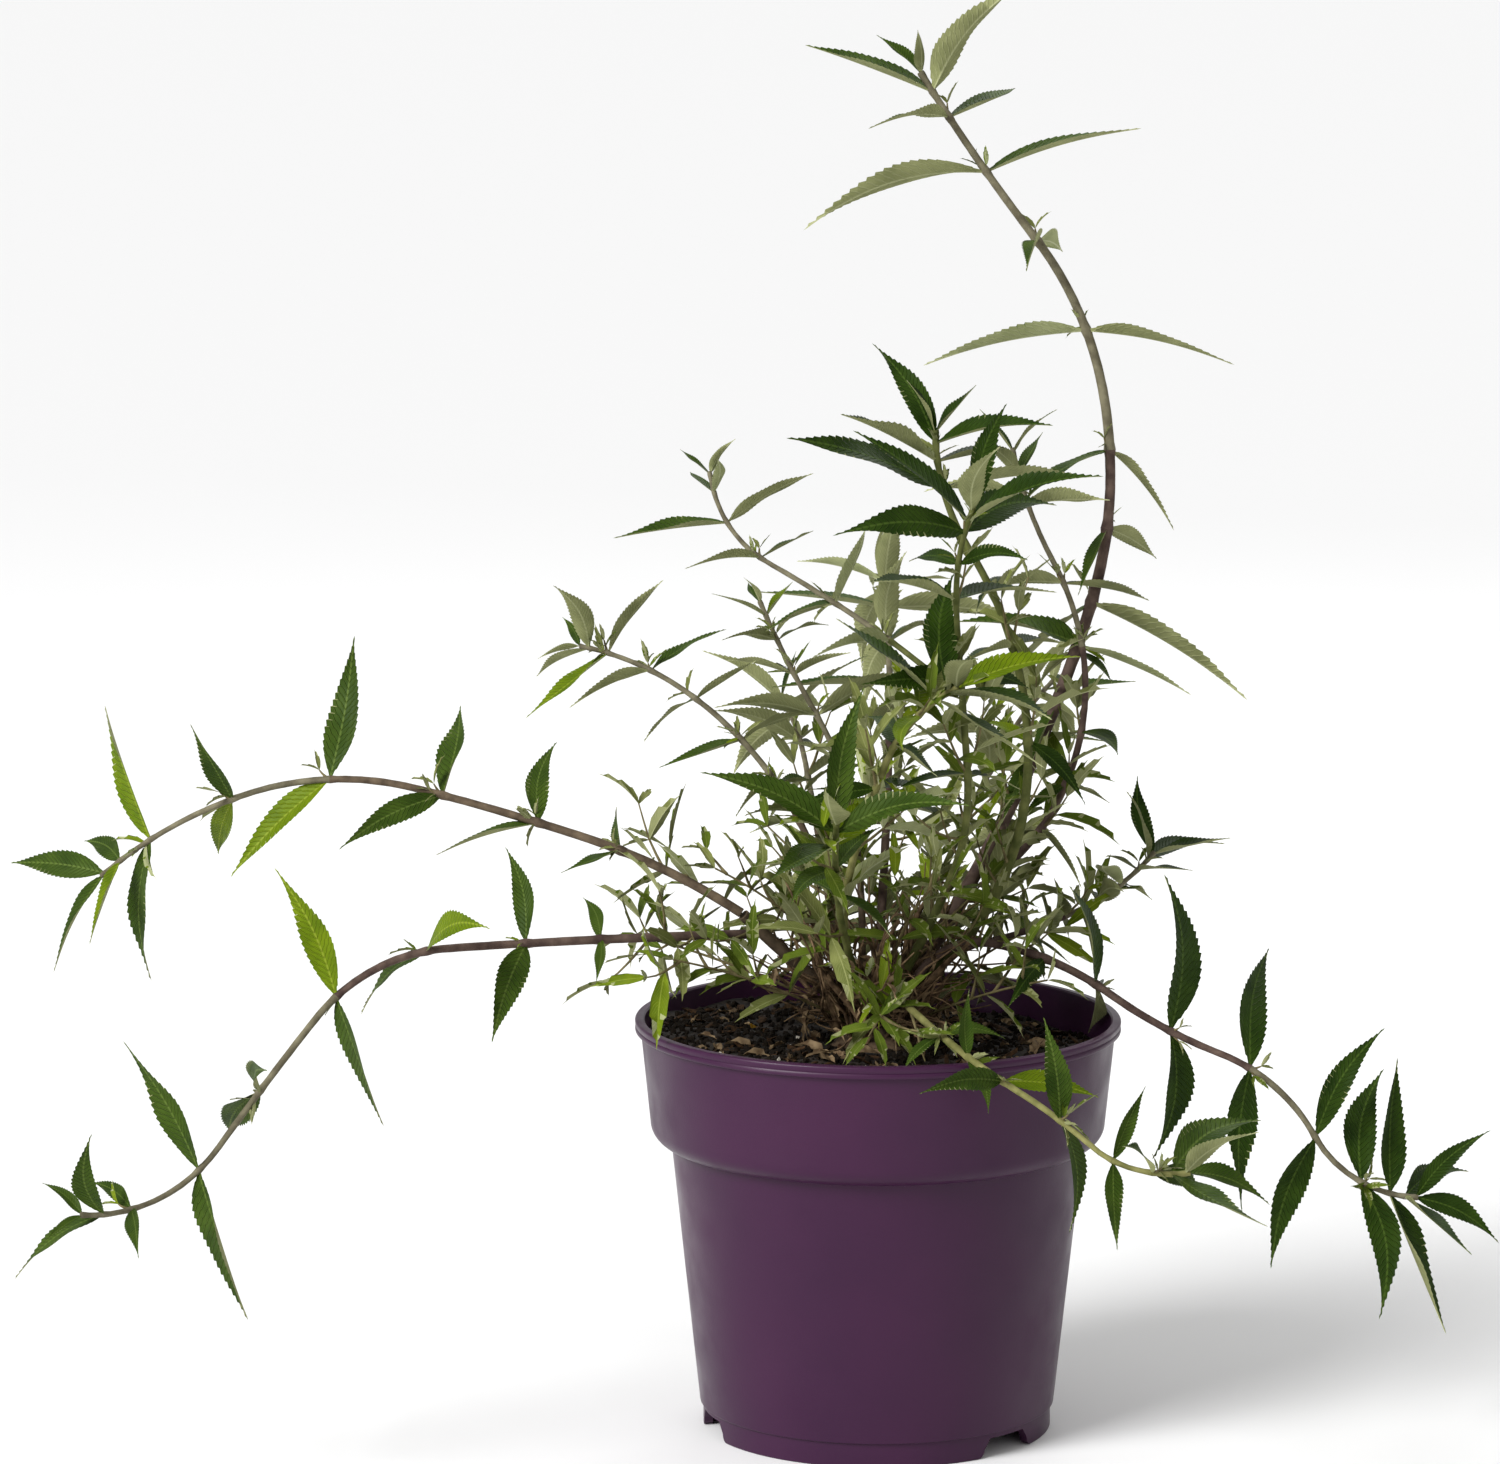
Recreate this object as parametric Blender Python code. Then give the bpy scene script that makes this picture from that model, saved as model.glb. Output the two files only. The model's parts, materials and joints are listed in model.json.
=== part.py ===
"""A young butterfly bush in a three-litre nursery pot.

The pot stands on the floor with its middle at the origin. +Z is up, and -Y is the side that faces the
photographer. Sizes are metres, except in the list of canes, where lengths are millimetres and angles are
degrees.
"""

import math
import random
from collections import namedtuple

import bmesh
import bpy
from mathutils import Vector
from mathutils.bvhtree import BVHTree

MM = 0.001
GAP = 0.3 * MM            # left between a piece and what carries it
CLEAR = 0.45 * MM         # kept between foliage and every other piece

# The pot, a thin moulding with a deep collar
POT_HEIGHT = 0.163
WALL = 0.0015
LIP_RADIUS = 0.0950
LIP_HEIGHT = 0.0050
LIP_ROUND = 0.0012
COLLAR_TOP_RADIUS = 0.0927
COLLAR_FOOT_RADIUS = 0.0890
COLLAR_FOOT = 0.1220
COLLAR_ROUND_DROP = 0.0078
BODY_TOP_RADIUS = 0.0809
LEDGE_RADIUS = 0.0697
LEDGE = 0.0096
FOOT_RADIUS = 0.0684
FOOT_THICKNESS = 0.0035
FLOOR_THICKNESS = 0.0020
PAD_RADIUS = 0.0110
NOTCH_COUNT = 3
NOTCH_TURN = math.radians(-43.0)
NOTCH_TOP_WIDTH = 0.0190
NOTCH_FOOT_WIDTH = 0.0250
POT_SEGMENTS = 36

# The compost, whose top slopes down towards the right
SOIL_LEVEL = 0.1530
SOIL_SLOPE_X = -0.050
SOIL_SLOPE_Y = -0.022
SOIL_BUMP = 0.0011
SOIL_FLAT_RADIUS = 0.0240
SOIL_RING_COUNT = 5

# The stool, the short woody foot that all canes spring from
STOOL_LEVEL = SOIL_LEVEL + GAP
STOOL_HEIGHTS = (0.000, 0.003, 0.007, 0.012, 0.018, 0.024, 0.029, 0.032)
STOOL_RADII = (0.0195, 0.0160, 0.0135, 0.0125, 0.0120, 0.0105, 0.0075, 0.0030)
STOOL_LEAN = Vector((-0.05, 0.02, 0.0))
STOOL_SEGMENTS = 20
FLARE_COUNT = 5
FLARE_DEPTH = 0.0022
FLARE_HEIGHT = 0.0075

# Limbs and leaves
STEP = 0.006              # length of one stretch of a limb
LIMB_SIDES = 7
STEM_SIDES = 3
TWIG_SIDES = 3
LEAF_WIDTH = 0.35         # of the leaf's length
LEAF_WIDEST = 0.42        # share of the length at which a leaf is widest
LEAF_THICKNESS = 0.028
LEAF_FOLD = 0.05          # how far a leaf's edges stand above its midrib
LEAF_SAG = 0.16           # how far a leaf's tip hangs, for each unit of length
SPREAD = 74.0             # degrees between a leaf and its stem, on the stem's flank
LIFT = 26.0               # added to that above the stem, and taken off below it
SPREAD_SHAKE = 8.0
TIP_SPREADS = (0.50, 0.72)     # how much of that the last pair and the one before it keep
ROLL_SHAKE = 6.0
TWIST_SHAKE = 36.0        # degrees that a leaf is twisted about its own midrib, either way
SIZE_SHAKE = 0.10
SHOOT_CHANCE = 0.16       # of a small shoot in the angle between leaf and stem
SHOOT_LENGTH = (0.009, 0.020)
SHOOT_LEAF = (0.011, 0.022)
SHOOT_RADII = (0.0006, 0.0005, 0.0003)
ROOT_DEPTH = 0.0003          # how far a leaf is sunk in its stem's middle
TRIES = ((0, 1.0), (16, 0.95), (-16, 0.95), (32, 0.85), (-32, 0.85), (50, 0.7), (-50, 0.7))
SEED = 23
SEED_STEP = 100       # between one limb's seeds and the next one's, so that each pair has its own

BARK = ("bark", (0.16, 0.11, 0.075), 0.85)
BROWN_CANE = ("brown_cane", (0.20, 0.13, 0.085), 0.75)
GREEN_CANE = ("green_cane", (0.30, 0.31, 0.11), 0.65)
FOLIAGE = ("foliage", (0.085, 0.16, 0.045), 0.60)
POT_PLASTIC = ("pot_plastic", (0.065, 0.028, 0.060), 0.42)
COMPOST = ("compost", (0.035, 0.024, 0.018), 0.95)

# A cane: where its foot sits, its length, the angles that it climbs and heads at along its length, how
# far it is bare, where its foliage is parted in two, its thickness at foot and tip, its pairs of leaves
# as (distance along, leaf length, turn round the cane), the droop of its lowest leaves, and its colour.
# A foot on the stool is (turn round the stool, height up it). Any other foot is (parent, distance along
# the parent). A heading of 0 is to the right, 90 away from the photographer, and a climb over 90 leans
# back past the upright. A pair at turn 0 has one leaf above the cane and one below.
Plan = namedtuple("Plan", "pairs droop seed")
Cane = namedtuple("Cane", "foot length climbs heads bare parted thick pairs droop colour")

CANES = {
    "left_limb": Cane((-176, 15), 54, (46, 42, 44), (-170, -156), 54, None, (5.8, 4.8), (), 0,
                      BROWN_CANE),
    "left_arch": Cane(("left_limb", None), 273, (32, 17, 13, -19, -41), (171, 174), 40, 160, (3.8, 2.0),
                      ((53, 32, 75), (87, 46, 40), (126, 46, 45), (171, 60, 15), (211, 44, 135),
                       (248, 60, 15), (263, 38, 60), (271, 46, 30)), -15, BROWN_CANE),
    "left_sweep": Cane(("left_limb", 47), 304, (2, 1, 0, -47, -49, 8),
                       (-162, -161, -160, -152, -150, -162), 44, 176, (3.8, 2.0),
                       ((60, 26, 60), (90, 48, 45), (130, 46, 120), (170, 54, 15), (216, 46, 120),
                        (254, 60, 15), (284, 32, 75), (295, 42, 135), (303, 20, 45)), 0, BROWN_CANE),
    "tall": Cane((36, 18), 400, (54, 60, 70, 97, 129, 124), (20, 26, 24, -36, -15, -22), 92, 248,
                 (6.0, 2.6),
                 ((104, 32, 45), (127, 28, 30), (150, 24, 120), (170, 70, 150), (200, 34, 60), (231, 46, 60),
                  (279, 62, 15), (319, 44, 90), (353, 68, 15), (379, 50, 75), (391, 52, 0), (399, 27, 130)),
                 85, BROWN_CANE),
    "centre": Cane((-40, 24), 210, (58, 62, 77, 75, 62), (-34, -46, -110, -108, -45), 84, None,
                   (3.8, 2.0),
                   ((98, 30, 130), (136, 44, 145), (170, 54, 135), (185, 36, 30), (199, 58, 105),
                    (204, 56, 45), (208, 50, 135)), 40, GREEN_CANE),
    "upper_left": Cane(("centre", 130), 145, (34, 26, 24, 63), (146, 145, 152, 110), 20, None, (2.4, 1.7),
                       ((36, 44, 90), (64, 44, 165), (101, 34, 70), (122, 43, 45), (136, 24, 165),
                        (144, 17, 45)), 0, GREEN_CANE),
    "green": Cane((-14, 21), 242, (32, 61, 86, 104, 122, 90), (-4, -2, -3, 2, -4, -12), 96, None,
                  (4.6, 2.4),
                  ((114, 32, 150), (152, 40, 55), (174, 42, 75), (219, 66, 40), (230, 56, 60),
                   (237, 50, 150), (241, 25, 45)), 50, GREEN_CANE),
    "right_side": Cane(("tall", 52), 190, (30, 65, 93, 119, 106), (12, 12, 0, -12, -46), 22, None,
                       (3.2, 1.8),
                       ((31, 40, 120), (51, 26, 30), (73, 34, 110), (107, 52, 165), (133, 44, 45),
                        (167, 44, 165), (179, 32, 90), (188, 24, 15)), 50, BROWN_CANE),
    "yellow": Cane((-128, 24), 151, (66, 62, 64, 28), (-134, -68, -45, -26), 78, None, (3.4, 2.2),
                   ((93, 34, 75), (114, 41, 150), (130, 42, 115), (141, 52, 0), (146, 56, 145),
                    (150, 50, 75)), 45, GREEN_CANE),
    "front": Cane((-106, 14), 112, (64, 47, 45), (-126, -98, -87), 52, None, (3.2, 2.2),
                  ((66, 30, 45), (82, 38, 150), (97, 50, 140), (106, 54, 75), (111, 52, 165)), 50,
                  GREEN_CANE),
    "left_mid": Cane((164, 23), 184, (74, 62, 47, 30, 8), (111, 136, 152, 158, 162), 52, None, (3.2, 1.8),
                     ((66, 34, 160), (83, 34, 90), (106, 34, 55), (131, 38, 165), (153, 36, 45),
                      (172, 40, 45), (180, 36, 135), (184, 18, 45)), 30, BROWN_CANE),
    "left_back": Cane((116, 24), 160, (63, 70, 54, 54), (82, 108, 146, 128), 50, None, (3.0, 1.8),
                      ((63, 34, 130), (87, 32, 165), (107, 42, 60), (126, 35, 0), (142, 34, 90),
                       (153, 26, 90), (159, 15, 135)), 10, BROWN_CANE),
    "right_arch": Cane((-36, 15), 244, (84, -10, -35, -20, -60, 0), (-12, -9, -7, -9, -12, -5), 56, 140,
                       (3.8, 2.0),
                       ((69, 32, 110), (91, 54, 45), (125, 60, 15), (159, 64, 135), (196, 52, 150),
                        (221, 54, 140), (233, 56, 165), (239, 50, 100), (243, 40, 5)), 40, GREEN_CANE),
    "front_right": Cane((-74, 20), 200, (12, -6, -14, -16, -27, 8), (-78, -73, -60, -48, -44, 0), 54, None,
                        (3.2, 1.9),
                        ((68, 26, 100), (88, 24, 0), (110, 46, 80), (142, 40, 15), (170, 34, 160),
                         (186, 38, 60), (193, 54, 105), (198, 40, 45)), 0, GREEN_CANE),
    "right_low": Cane((8, 13), 122, (64, 8, 20, 44), (30, 21, 20, 26), 46, None, (3.0, 1.8),
                      ((58, 30, 105), (76, 34, 50), (91, 40, 75), (103, 36, 40), (112, 30, 90),
                       (118, 42, 30), (121, 34, 150)), 20, GREEN_CANE),
    "back_left": Cane((138, 14), 178, (58, 46, 24, 12), (112, 100, 96, 104), 48, None, (3.2, 1.8),
                      ((60, 34, 30), (84, 40, 120), (110, 44, 30), (136, 42, 120), (158, 46, 30),
                       (170, 38, 120), (177, 24, 30)), 20, BROWN_CANE),
    "back": Cane((86, 20), 236, (60, 48, 28, 10), (82, 86, 90, 92), 70, None, (3.8, 2.0),
                 ((84, 36, 100), (112, 44, 10), (142, 50, 100), (172, 50, 10), (200, 54, 100),
                  (218, 50, 10), (228, 42, 100), (235, 26, 10)), 20, BROWN_CANE),
    "back_right": Cane((60, 13), 186, (54, 42, 30, 18), (58, 62, 66, 60), 50, None, (3.2, 1.8),
                       ((62, 34, 10), (86, 40, 100), (112, 46, 10), (140, 44, 100), (164, 46, 10),
                        (178, 40, 100), (185, 24, 10)), 20, GREEN_CANE),
}

# The low sprays that fill the foot of the bush, as (turn, height, length, climb)
SPRAYS = ((-150, 9, 84, 30), (-90, 9, 62, 20), (-64, 26, 58, 64), (-28, 8, 64, 28), (20, 24, 60, 50),
          (34, 8, 62, 34), (112, 8, 60, 36), (165, 10, 88, 24), (-170, 25, 70, 54), (84, 10, 64, 46))
SPRAY_THICK = (2.0, 1.2)
SPRAY_PAIR_COUNT = 4
SPRAY_LEAF = (28, 18)        # at the first pair and the last
SPRAY_REACH = (0.35, 1.0)    # share of the length at the first pair and the last
SPRAY_DROOP = 0.5            # of a spray's climb that is left at its tip
SPRAY_TURN = 40.0

Shape = namedtuple("Shape", "corners faces")


def clear_scene():
    """Remove what the start-up file holds."""
    for thing in list(bpy.data.objects):
        bpy.data.objects.remove(thing, do_unlink=True)


def material(recipe):
    """Return the named Principled material, made on first use."""
    name, colour, roughness = recipe
    found = bpy.data.materials.get(name)
    if found:
        return found
    made = bpy.data.materials.new(name)
    made.use_nodes = True
    shader = made.node_tree.nodes["Principled BSDF"]
    shader.inputs["Base Color"].default_value = (*colour, 1.0)
    shader.inputs["Roughness"].default_value = roughness
    made.diffuse_color = (*colour, 1.0)
    return made


def add_object(name, shape, recipe):
    """Turn a shape into a closed object with outward faces."""
    mesh = bpy.data.meshes.new(name)
    mesh.from_pydata([tuple(corner) for corner in shape.corners], [], shape.faces)
    work = bmesh.new()
    work.from_mesh(mesh)
    bmesh.ops.recalc_face_normals(work, faces=work.faces)
    work.to_mesh(mesh)
    work.free()
    mesh.materials.append(material(recipe))
    thing = bpy.data.objects.new(name, mesh)
    bpy.context.scene.collection.objects.link(thing)
    return thing


def smooth(thing, angle):
    """Shade an object smooth, with edges sharper than the angle kept."""
    thing.data.shade_smooth()
    thing.data.set_sharp_from_angle(angle=math.radians(angle))


def mixed(values, share):
    """Read a list of evenly spread values at a share of its length."""
    place = min(max(share, 0.0), 1.0) * (len(values) - 1)
    low = min(int(place), len(values) - 2) if len(values) > 1 else 0
    high = min(low + 1, len(values) - 1)
    return values[low] + (values[high] - values[low]) * (place - low)


def skin(rings):
    """Cover a row of rings with faces, and close both its ends."""
    count = len(rings[0])
    corners = [corner for ring in rings for corner in ring]
    faces = []
    for row in range(len(rings) - 1):
        for side in range(count):
            a = row * count + side
            b = row * count + (side + 1) % count
            faces.append((a, b, b + count, a + count))
    faces.append(tuple(range(count)))
    faces.append(tuple((len(rings) - 1) * count + side for side in range(count)))
    return Shape(corners, faces)


def turned(profile, segments):
    """Turn a profile of (radius, height) that starts and ends on the axis."""
    corners = [Vector((0.0, 0.0, profile[0][1]))]
    for radius, height in profile[1:-1]:
        for segment in range(segments):
            turn = math.tau * segment / segments
            corners.append(Vector((radius * math.cos(turn), radius * math.sin(turn), height)))
    corners.append(Vector((0.0, 0.0, profile[-1][1])))
    faces = []
    last = len(corners) - 1
    for segment in range(segments):
        beside = (segment + 1) % segments
        faces.append((0, 1 + segment, 1 + beside))
        faces.append((last, last - segments + segment, last - segments + beside))
        for row in range(len(profile) - 3):
            start = 1 + row * segments
            faces.append((start + segment, start + beside, start + segments + beside,
                          start + segments + segment))
    return Shape(corners, faces)


def collar_round(inset, steps):
    """The quarter round that carries the body out to the collar, moved in by an inset."""
    across = COLLAR_FOOT_RADIUS - BODY_TOP_RADIUS
    points = []
    for step in range(steps + 1):
        turn = math.radians(90.0 * step / steps)
        points.append((BODY_TOP_RADIUS - inset + across * math.sin(turn),
                       COLLAR_FOOT - COLLAR_ROUND_DROP * math.cos(turn)))
    return points


def inner_radius(height):
    """The pot's inner radius at a height inside its collar."""
    share = (height - COLLAR_FOOT) / (POT_HEIGHT - LIP_HEIGHT - COLLAR_FOOT)
    return COLLAR_FOOT_RADIUS + (COLLAR_TOP_RADIUS - COLLAR_FOOT_RADIUS) * share - WALL


def make_pot():
    """The pot as one turned shell, with its foot ring cut into three."""
    floor_foot = LEDGE - FLOOR_THICKNESS * 0.75
    floor_top = floor_foot + FLOOR_THICKNESS
    foot_inner = FOOT_RADIUS - FOOT_THICKNESS
    outside = [(0.0, 0.0), (PAD_RADIUS, 0.0), (PAD_RADIUS, floor_foot), (foot_inner, floor_foot),
               (foot_inner, 0.0), (FOOT_RADIUS - LIP_ROUND, 0.0), (FOOT_RADIUS, LIP_ROUND),
               (FOOT_RADIUS, LEDGE), (LEDGE_RADIUS, LEDGE + LIP_ROUND)]
    outside += collar_round(0.0, 4)
    outside += [(COLLAR_TOP_RADIUS, POT_HEIGHT - LIP_HEIGHT),
                (LIP_RADIUS, POT_HEIGHT - LIP_HEIGHT + LIP_ROUND),
                (LIP_RADIUS, POT_HEIGHT - LIP_ROUND), (LIP_RADIUS - LIP_ROUND, POT_HEIGHT)]
    inside = [(COLLAR_TOP_RADIUS - WALL, POT_HEIGHT), (inner_radius(SOIL_LEVEL), SOIL_LEVEL)]
    inside += list(reversed(collar_round(WALL, 3)))
    inside += [(LEDGE_RADIUS - WALL, floor_top), (0.0, floor_top)]
    pot = add_object("pot", turned(outside + inside, POT_SEGMENTS), POT_PLASTIC)
    smooth(pot, 35)
    cut_notches(pot)
    return pot


def cut_notches(pot):
    """Cut the water gaps out of the foot ring."""
    reach = FOOT_RADIUS + LEDGE
    for number in range(NOTCH_COUNT):
        turn = NOTCH_TURN + math.tau * number / NOTCH_COUNT
        outward = Vector((math.cos(turn), math.sin(turn), 0.0))
        across = Vector((-math.sin(turn), math.cos(turn), 0.0))
        rings = []
        for radius in (FOOT_RADIUS - 2.0 * FOOT_THICKNESS, reach):
            middle = outward * radius
            rings.append([middle + across * (side * width / 2.0) + Vector((0.0, 0.0, height))
                          for side, width, height in ((-1, NOTCH_FOOT_WIDTH, -WALL),
                                                      (1, NOTCH_FOOT_WIDTH, -WALL),
                                                      (1, NOTCH_TOP_WIDTH, LEDGE - FLOOR_THICKNESS),
                                                      (-1, NOTCH_TOP_WIDTH, LEDGE - FLOOR_THICKNESS))])
        cutter = add_object("notch_cutter_%d" % number, skin(rings), POT_PLASTIC)
        cutter.hide_render = True
        cutter.display_type = "WIRE"
        cut = pot.modifiers.new("notch_%d" % number, "BOOLEAN")
        cut.operation = "DIFFERENCE"
        cut.object = cutter


def ground(x, y):
    """The height of the compost, flat round the stool and sloping beyond it."""
    radius = math.hypot(x, y)
    blend = min(max((radius - SOIL_FLAT_RADIUS) / SOIL_FLAT_RADIUS, 0.0), 1.0)
    slope = SOIL_SLOPE_X * x + SOIL_SLOPE_Y * y
    bumps = SOIL_BUMP * (math.sin(95.0 * x + 1.0) * math.cos(80.0 * y) + 0.6 * math.sin(170.0 * y + 2.0))
    return SOIL_LEVEL + blend * (slope + bumps)


def make_soil():
    """The compost, which fills the pot to just under its lip."""
    floor_top = LEDGE + FLOOR_THICKNESS * 0.25 + GAP
    rings = [[], [], []]
    shoulder = collar_round(WALL + GAP, 2)
    for segment in range(POT_SEGMENTS):
        turn = math.tau * segment / POT_SEGMENTS
        outward = Vector((math.cos(turn), math.sin(turn), 0.0))
        rings[0].append(outward * (LEDGE_RADIUS - WALL - GAP) + Vector((0.0, 0.0, floor_top)))
        rings[1].append(outward * shoulder[0][0] + Vector((0.0, 0.0, shoulder[0][1])))
        rings[2].append(outward * shoulder[-1][0] + Vector((0.0, 0.0, shoulder[-1][1])))
    for number in range(SOIL_RING_COUNT + 1):
        ring = []
        for segment in range(POT_SEGMENTS):
            turn = math.tau * segment / POT_SEGMENTS
            edge = inner_radius(SOIL_LEVEL) - GAP
            if number == 0:
                brim = ground(edge * math.cos(turn), edge * math.sin(turn))
                edge = inner_radius(brim) - GAP
            radius = edge + (SOIL_FLAT_RADIUS - edge) * number / SOIL_RING_COUNT
            x = radius * math.cos(turn)
            y = radius * math.sin(turn)
            ring.append(Vector((x, y, ground(x, y))))
        rings.append(ring)
    soil = add_object("soil", skin(rings), COMPOST)
    smooth(soil, 40)
    return soil


def stool_radius(height):
    """The stool's radius at a height above the compost, without its flare."""
    for low, high, inner, outer in zip(STOOL_HEIGHTS, STOOL_HEIGHTS[1:], STOOL_RADII, STOOL_RADII[1:]):
        if height <= high:
            return inner + (outer - inner) * (height - low) / (high - low)
    return STOOL_RADII[-1]


def make_stool():
    """The woody stool, flared where its roots go into the compost."""
    rings = []
    for height, radius in zip(STOOL_HEIGHTS, STOOL_RADII):
        depth = FLARE_DEPTH * max(0.0, 1.0 - height / FLARE_HEIGHT)
        middle = Vector((0.0, 0.0, STOOL_LEVEL + height)) + STOOL_LEAN * height
        ring = []
        for segment in range(STOOL_SEGMENTS):
            turn = math.tau * segment / STOOL_SEGMENTS
            reach = radius + depth * math.cos(FLARE_COUNT * turn)
            ring.append(middle + Vector((reach * math.cos(turn), reach * math.sin(turn), 0.0)))
        rings.append(ring)
    stool = add_object("stool", skin(rings), BARK)
    smooth(stool, 60)
    return stool


def heading(climb, head):
    """The direction of a climb and a heading in degrees."""
    flat = math.cos(math.radians(climb))
    return Vector((flat * math.cos(math.radians(head)), flat * math.sin(math.radians(head)),
                   math.sin(math.radians(climb))))


def foot_on_stool(turn, height, direction, radius):
    """The foot of a limb that springs from the stool, clear of it by the gap."""
    height = height * MM
    turn = math.radians(turn)
    slope = (stool_radius(height + MM) - stool_radius(height - MM)) / (2.0 * MM)
    normal = Vector((math.cos(turn), math.sin(turn), -slope)).normalized()
    middle = Vector((0.0, 0.0, STOOL_LEVEL + height)) + STOOL_LEAN * height
    surface = middle + Vector((math.cos(turn), math.sin(turn), 0.0)) * stool_radius(height)
    tilt = math.sin(normal.angle(direction))
    return surface + normal * (GAP + radius * tilt)


def foot_on_limb(parent, along, direction, radius):
    """The foot of a limb on its parent's flank, or past its tip where no distance is given."""
    if along is None:
        tangent = parent.tangent(parent.length)
        return parent.point(parent.length) + tangent * (GAP + radius * math.sin(tangent.angle(direction)))
    along = along * MM
    spot = parent.point(along)
    tangent = parent.tangent(along)
    normal = (direction - tangent * direction.dot(tangent)).normalized()
    tilt = math.sin(normal.angle(direction))
    return spot + normal * (parent.radius(along) + GAP + radius * tilt)


class Limb:
    """The middle line of a cane, worked out from its foot, climbs and headings."""

    def __init__(self, foot, length, climbs, heads, thick):
        self.length = length * MM
        self.thick = (thick[0] * MM / 2.0, thick[1] * MM / 2.0)
        count = max(2, round(self.length / STEP))
        self.stretch = self.length / count
        self.points = [foot]
        for number in range(count):
            share = (number + 0.5) / count
            direction = heading(mixed(climbs, share), mixed(heads, share))
            self.points.append(self.points[-1] + direction * self.stretch)

    def point(self, along):
        place = min(max(along / self.stretch, 0.0), len(self.points) - 1.0)
        low = min(int(place), len(self.points) - 2)
        return self.points[low].lerp(self.points[low + 1], place - low)

    def tangent(self, along):
        low = self.point(max(along - self.stretch, 0.0))
        high = self.point(min(along + self.stretch, self.length))
        return (high - low).normalized()

    def radius(self, along):
        return self.thick[0] + (self.thick[1] - self.thick[0]) * along / self.length


def frame_at(tangent):
    """The upper side and the flank of a stem that runs along the tangent."""
    upper = Vector((0.0, 0.0, 1.0)) - tangent * tangent.z
    if upper.length < 0.05:
        upper = Vector((1.0, 0.0, 0.0)) - tangent * tangent.x
    upper.normalize()
    return upper, tangent.cross(upper)


def rod(points, radii, sides):
    """A round stem along points, flat at its foot and its tip."""
    rings = []
    upper = None
    for number, point in enumerate(points):
        before = points[max(number - 1, 0)]
        after = points[min(number + 1, len(points) - 1)]
        tangent = (after - before).normalized()
        if upper is None:
            upper = frame_at(tangent)[0]
        upper = (upper - tangent * upper.dot(tangent)).normalized()
        flank = tangent.cross(upper)
        rings.append([point + (upper * math.cos(math.tau * side / sides)
                               + flank * math.sin(math.tau * side / sides)) * radii[number]
                      for side in range(sides)])
    return skin(rings)


def stretch_of(limb, start, end, sides):
    """The rod of one stretch of a limb."""
    count = max(1, round((end - start) / (2.0 * STEP)))
    places = [start + (end - start) * number / count for number in range(count + 1)]
    return rod([limb.point(place) for place in places], [limb.radius(place) for place in places], sides)


def leaf_shape(root, direction, face, length, grow=0.0):
    """A leaf of eight faces, folded up along its midrib and hanging at its tip."""
    across = direction.cross(face).normalized()
    face = across.cross(direction).normalized()
    half = LEAF_WIDTH * length / 2.0 + grow
    thick = LEAF_THICKNESS * length / 2.0 + grow
    middle = root + direction * (LEAF_WIDEST * length)
    tip = root + direction * (length + grow) - face * (LEAF_SAG * length)
    edge = middle + face * (LEAF_FOLD * length)
    corners = [root - direction * grow, edge - across * half, edge + across * half, tip,
               middle + face * thick, middle - face * thick]
    faces = [(0, 1, 4), (0, 4, 2), (3, 4, 1), (3, 2, 4), (0, 5, 1), (0, 2, 5), (3, 1, 5), (3, 5, 2)]
    return Shape(corners, faces)


class Room:
    """The space that is taken so far, node by node."""

    def __init__(self):
        self.taken = []

    def take(self, node, shape):
        tree = BVHTree.FromPolygons([tuple(corner) for corner in shape.corners], shape.faces)
        self.taken.append((node, tree, *self.box(shape)))

    def box(self, shape):
        low = Vector([min(corner[axis] for corner in shape.corners) for axis in range(3)])
        high = Vector([max(corner[axis] for corner in shape.corners) for axis in range(3)])
        return low, high

    def free(self, node, shape):
        low, high = self.box(shape)
        tree = BVHTree.FromPolygons([tuple(corner) for corner in shape.corners], shape.faces)
        for owner, other, other_low, other_high in self.taken:
            if owner == node:
                continue
            if any(low[axis] > other_high[axis] or high[axis] < other_low[axis] for axis in range(3)):
                continue
            if tree.overlap(other):
                return False
        return True


def leaf_direction(tangent, turn, spread):
    """The direction of a leaf that stands at a turn round its stem and a spread from it."""
    upper, flank = frame_at(tangent)
    outward = upper * math.cos(math.radians(turn)) + flank * math.sin(math.radians(turn))
    return tangent * math.cos(math.radians(spread)) + outward * math.sin(math.radians(spread))


def leaf_face(direction, tangent):
    """The way a leaf's upper side looks: towards the stem's tip, and up to the light."""
    face = tangent * 0.8 + Vector((0.0, 0.0, 0.7))
    face = face - direction * face.dot(direction)
    if face.length < 0.1:
        face = frame_at(direction)[0]
    return face.normalized()


def place_leaf(room, node, root, tangent, turn, spread, twist, length):
    """Find a place for one leaf near its true one, or leave it out."""
    for swing, shrink in TRIES:
        direction = leaf_direction(tangent, turn + swing, spread)
        face = leaf_face(direction, tangent)
        face = face * math.cos(twist) + direction.cross(face) * math.sin(twist)
        if room.free(node, leaf_shape(root, direction, face, length * shrink, CLEAR)):
            leaf = leaf_shape(root - direction * ROOT_DEPTH, direction, face, length * shrink)
            room.take(node, leaf)
            return [leaf]
    return []


def twisted(rng):
    """A random twist of a leaf about its own midrib."""
    return math.radians(rng.uniform(-TWIST_SHAKE, TWIST_SHAKE))


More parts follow.
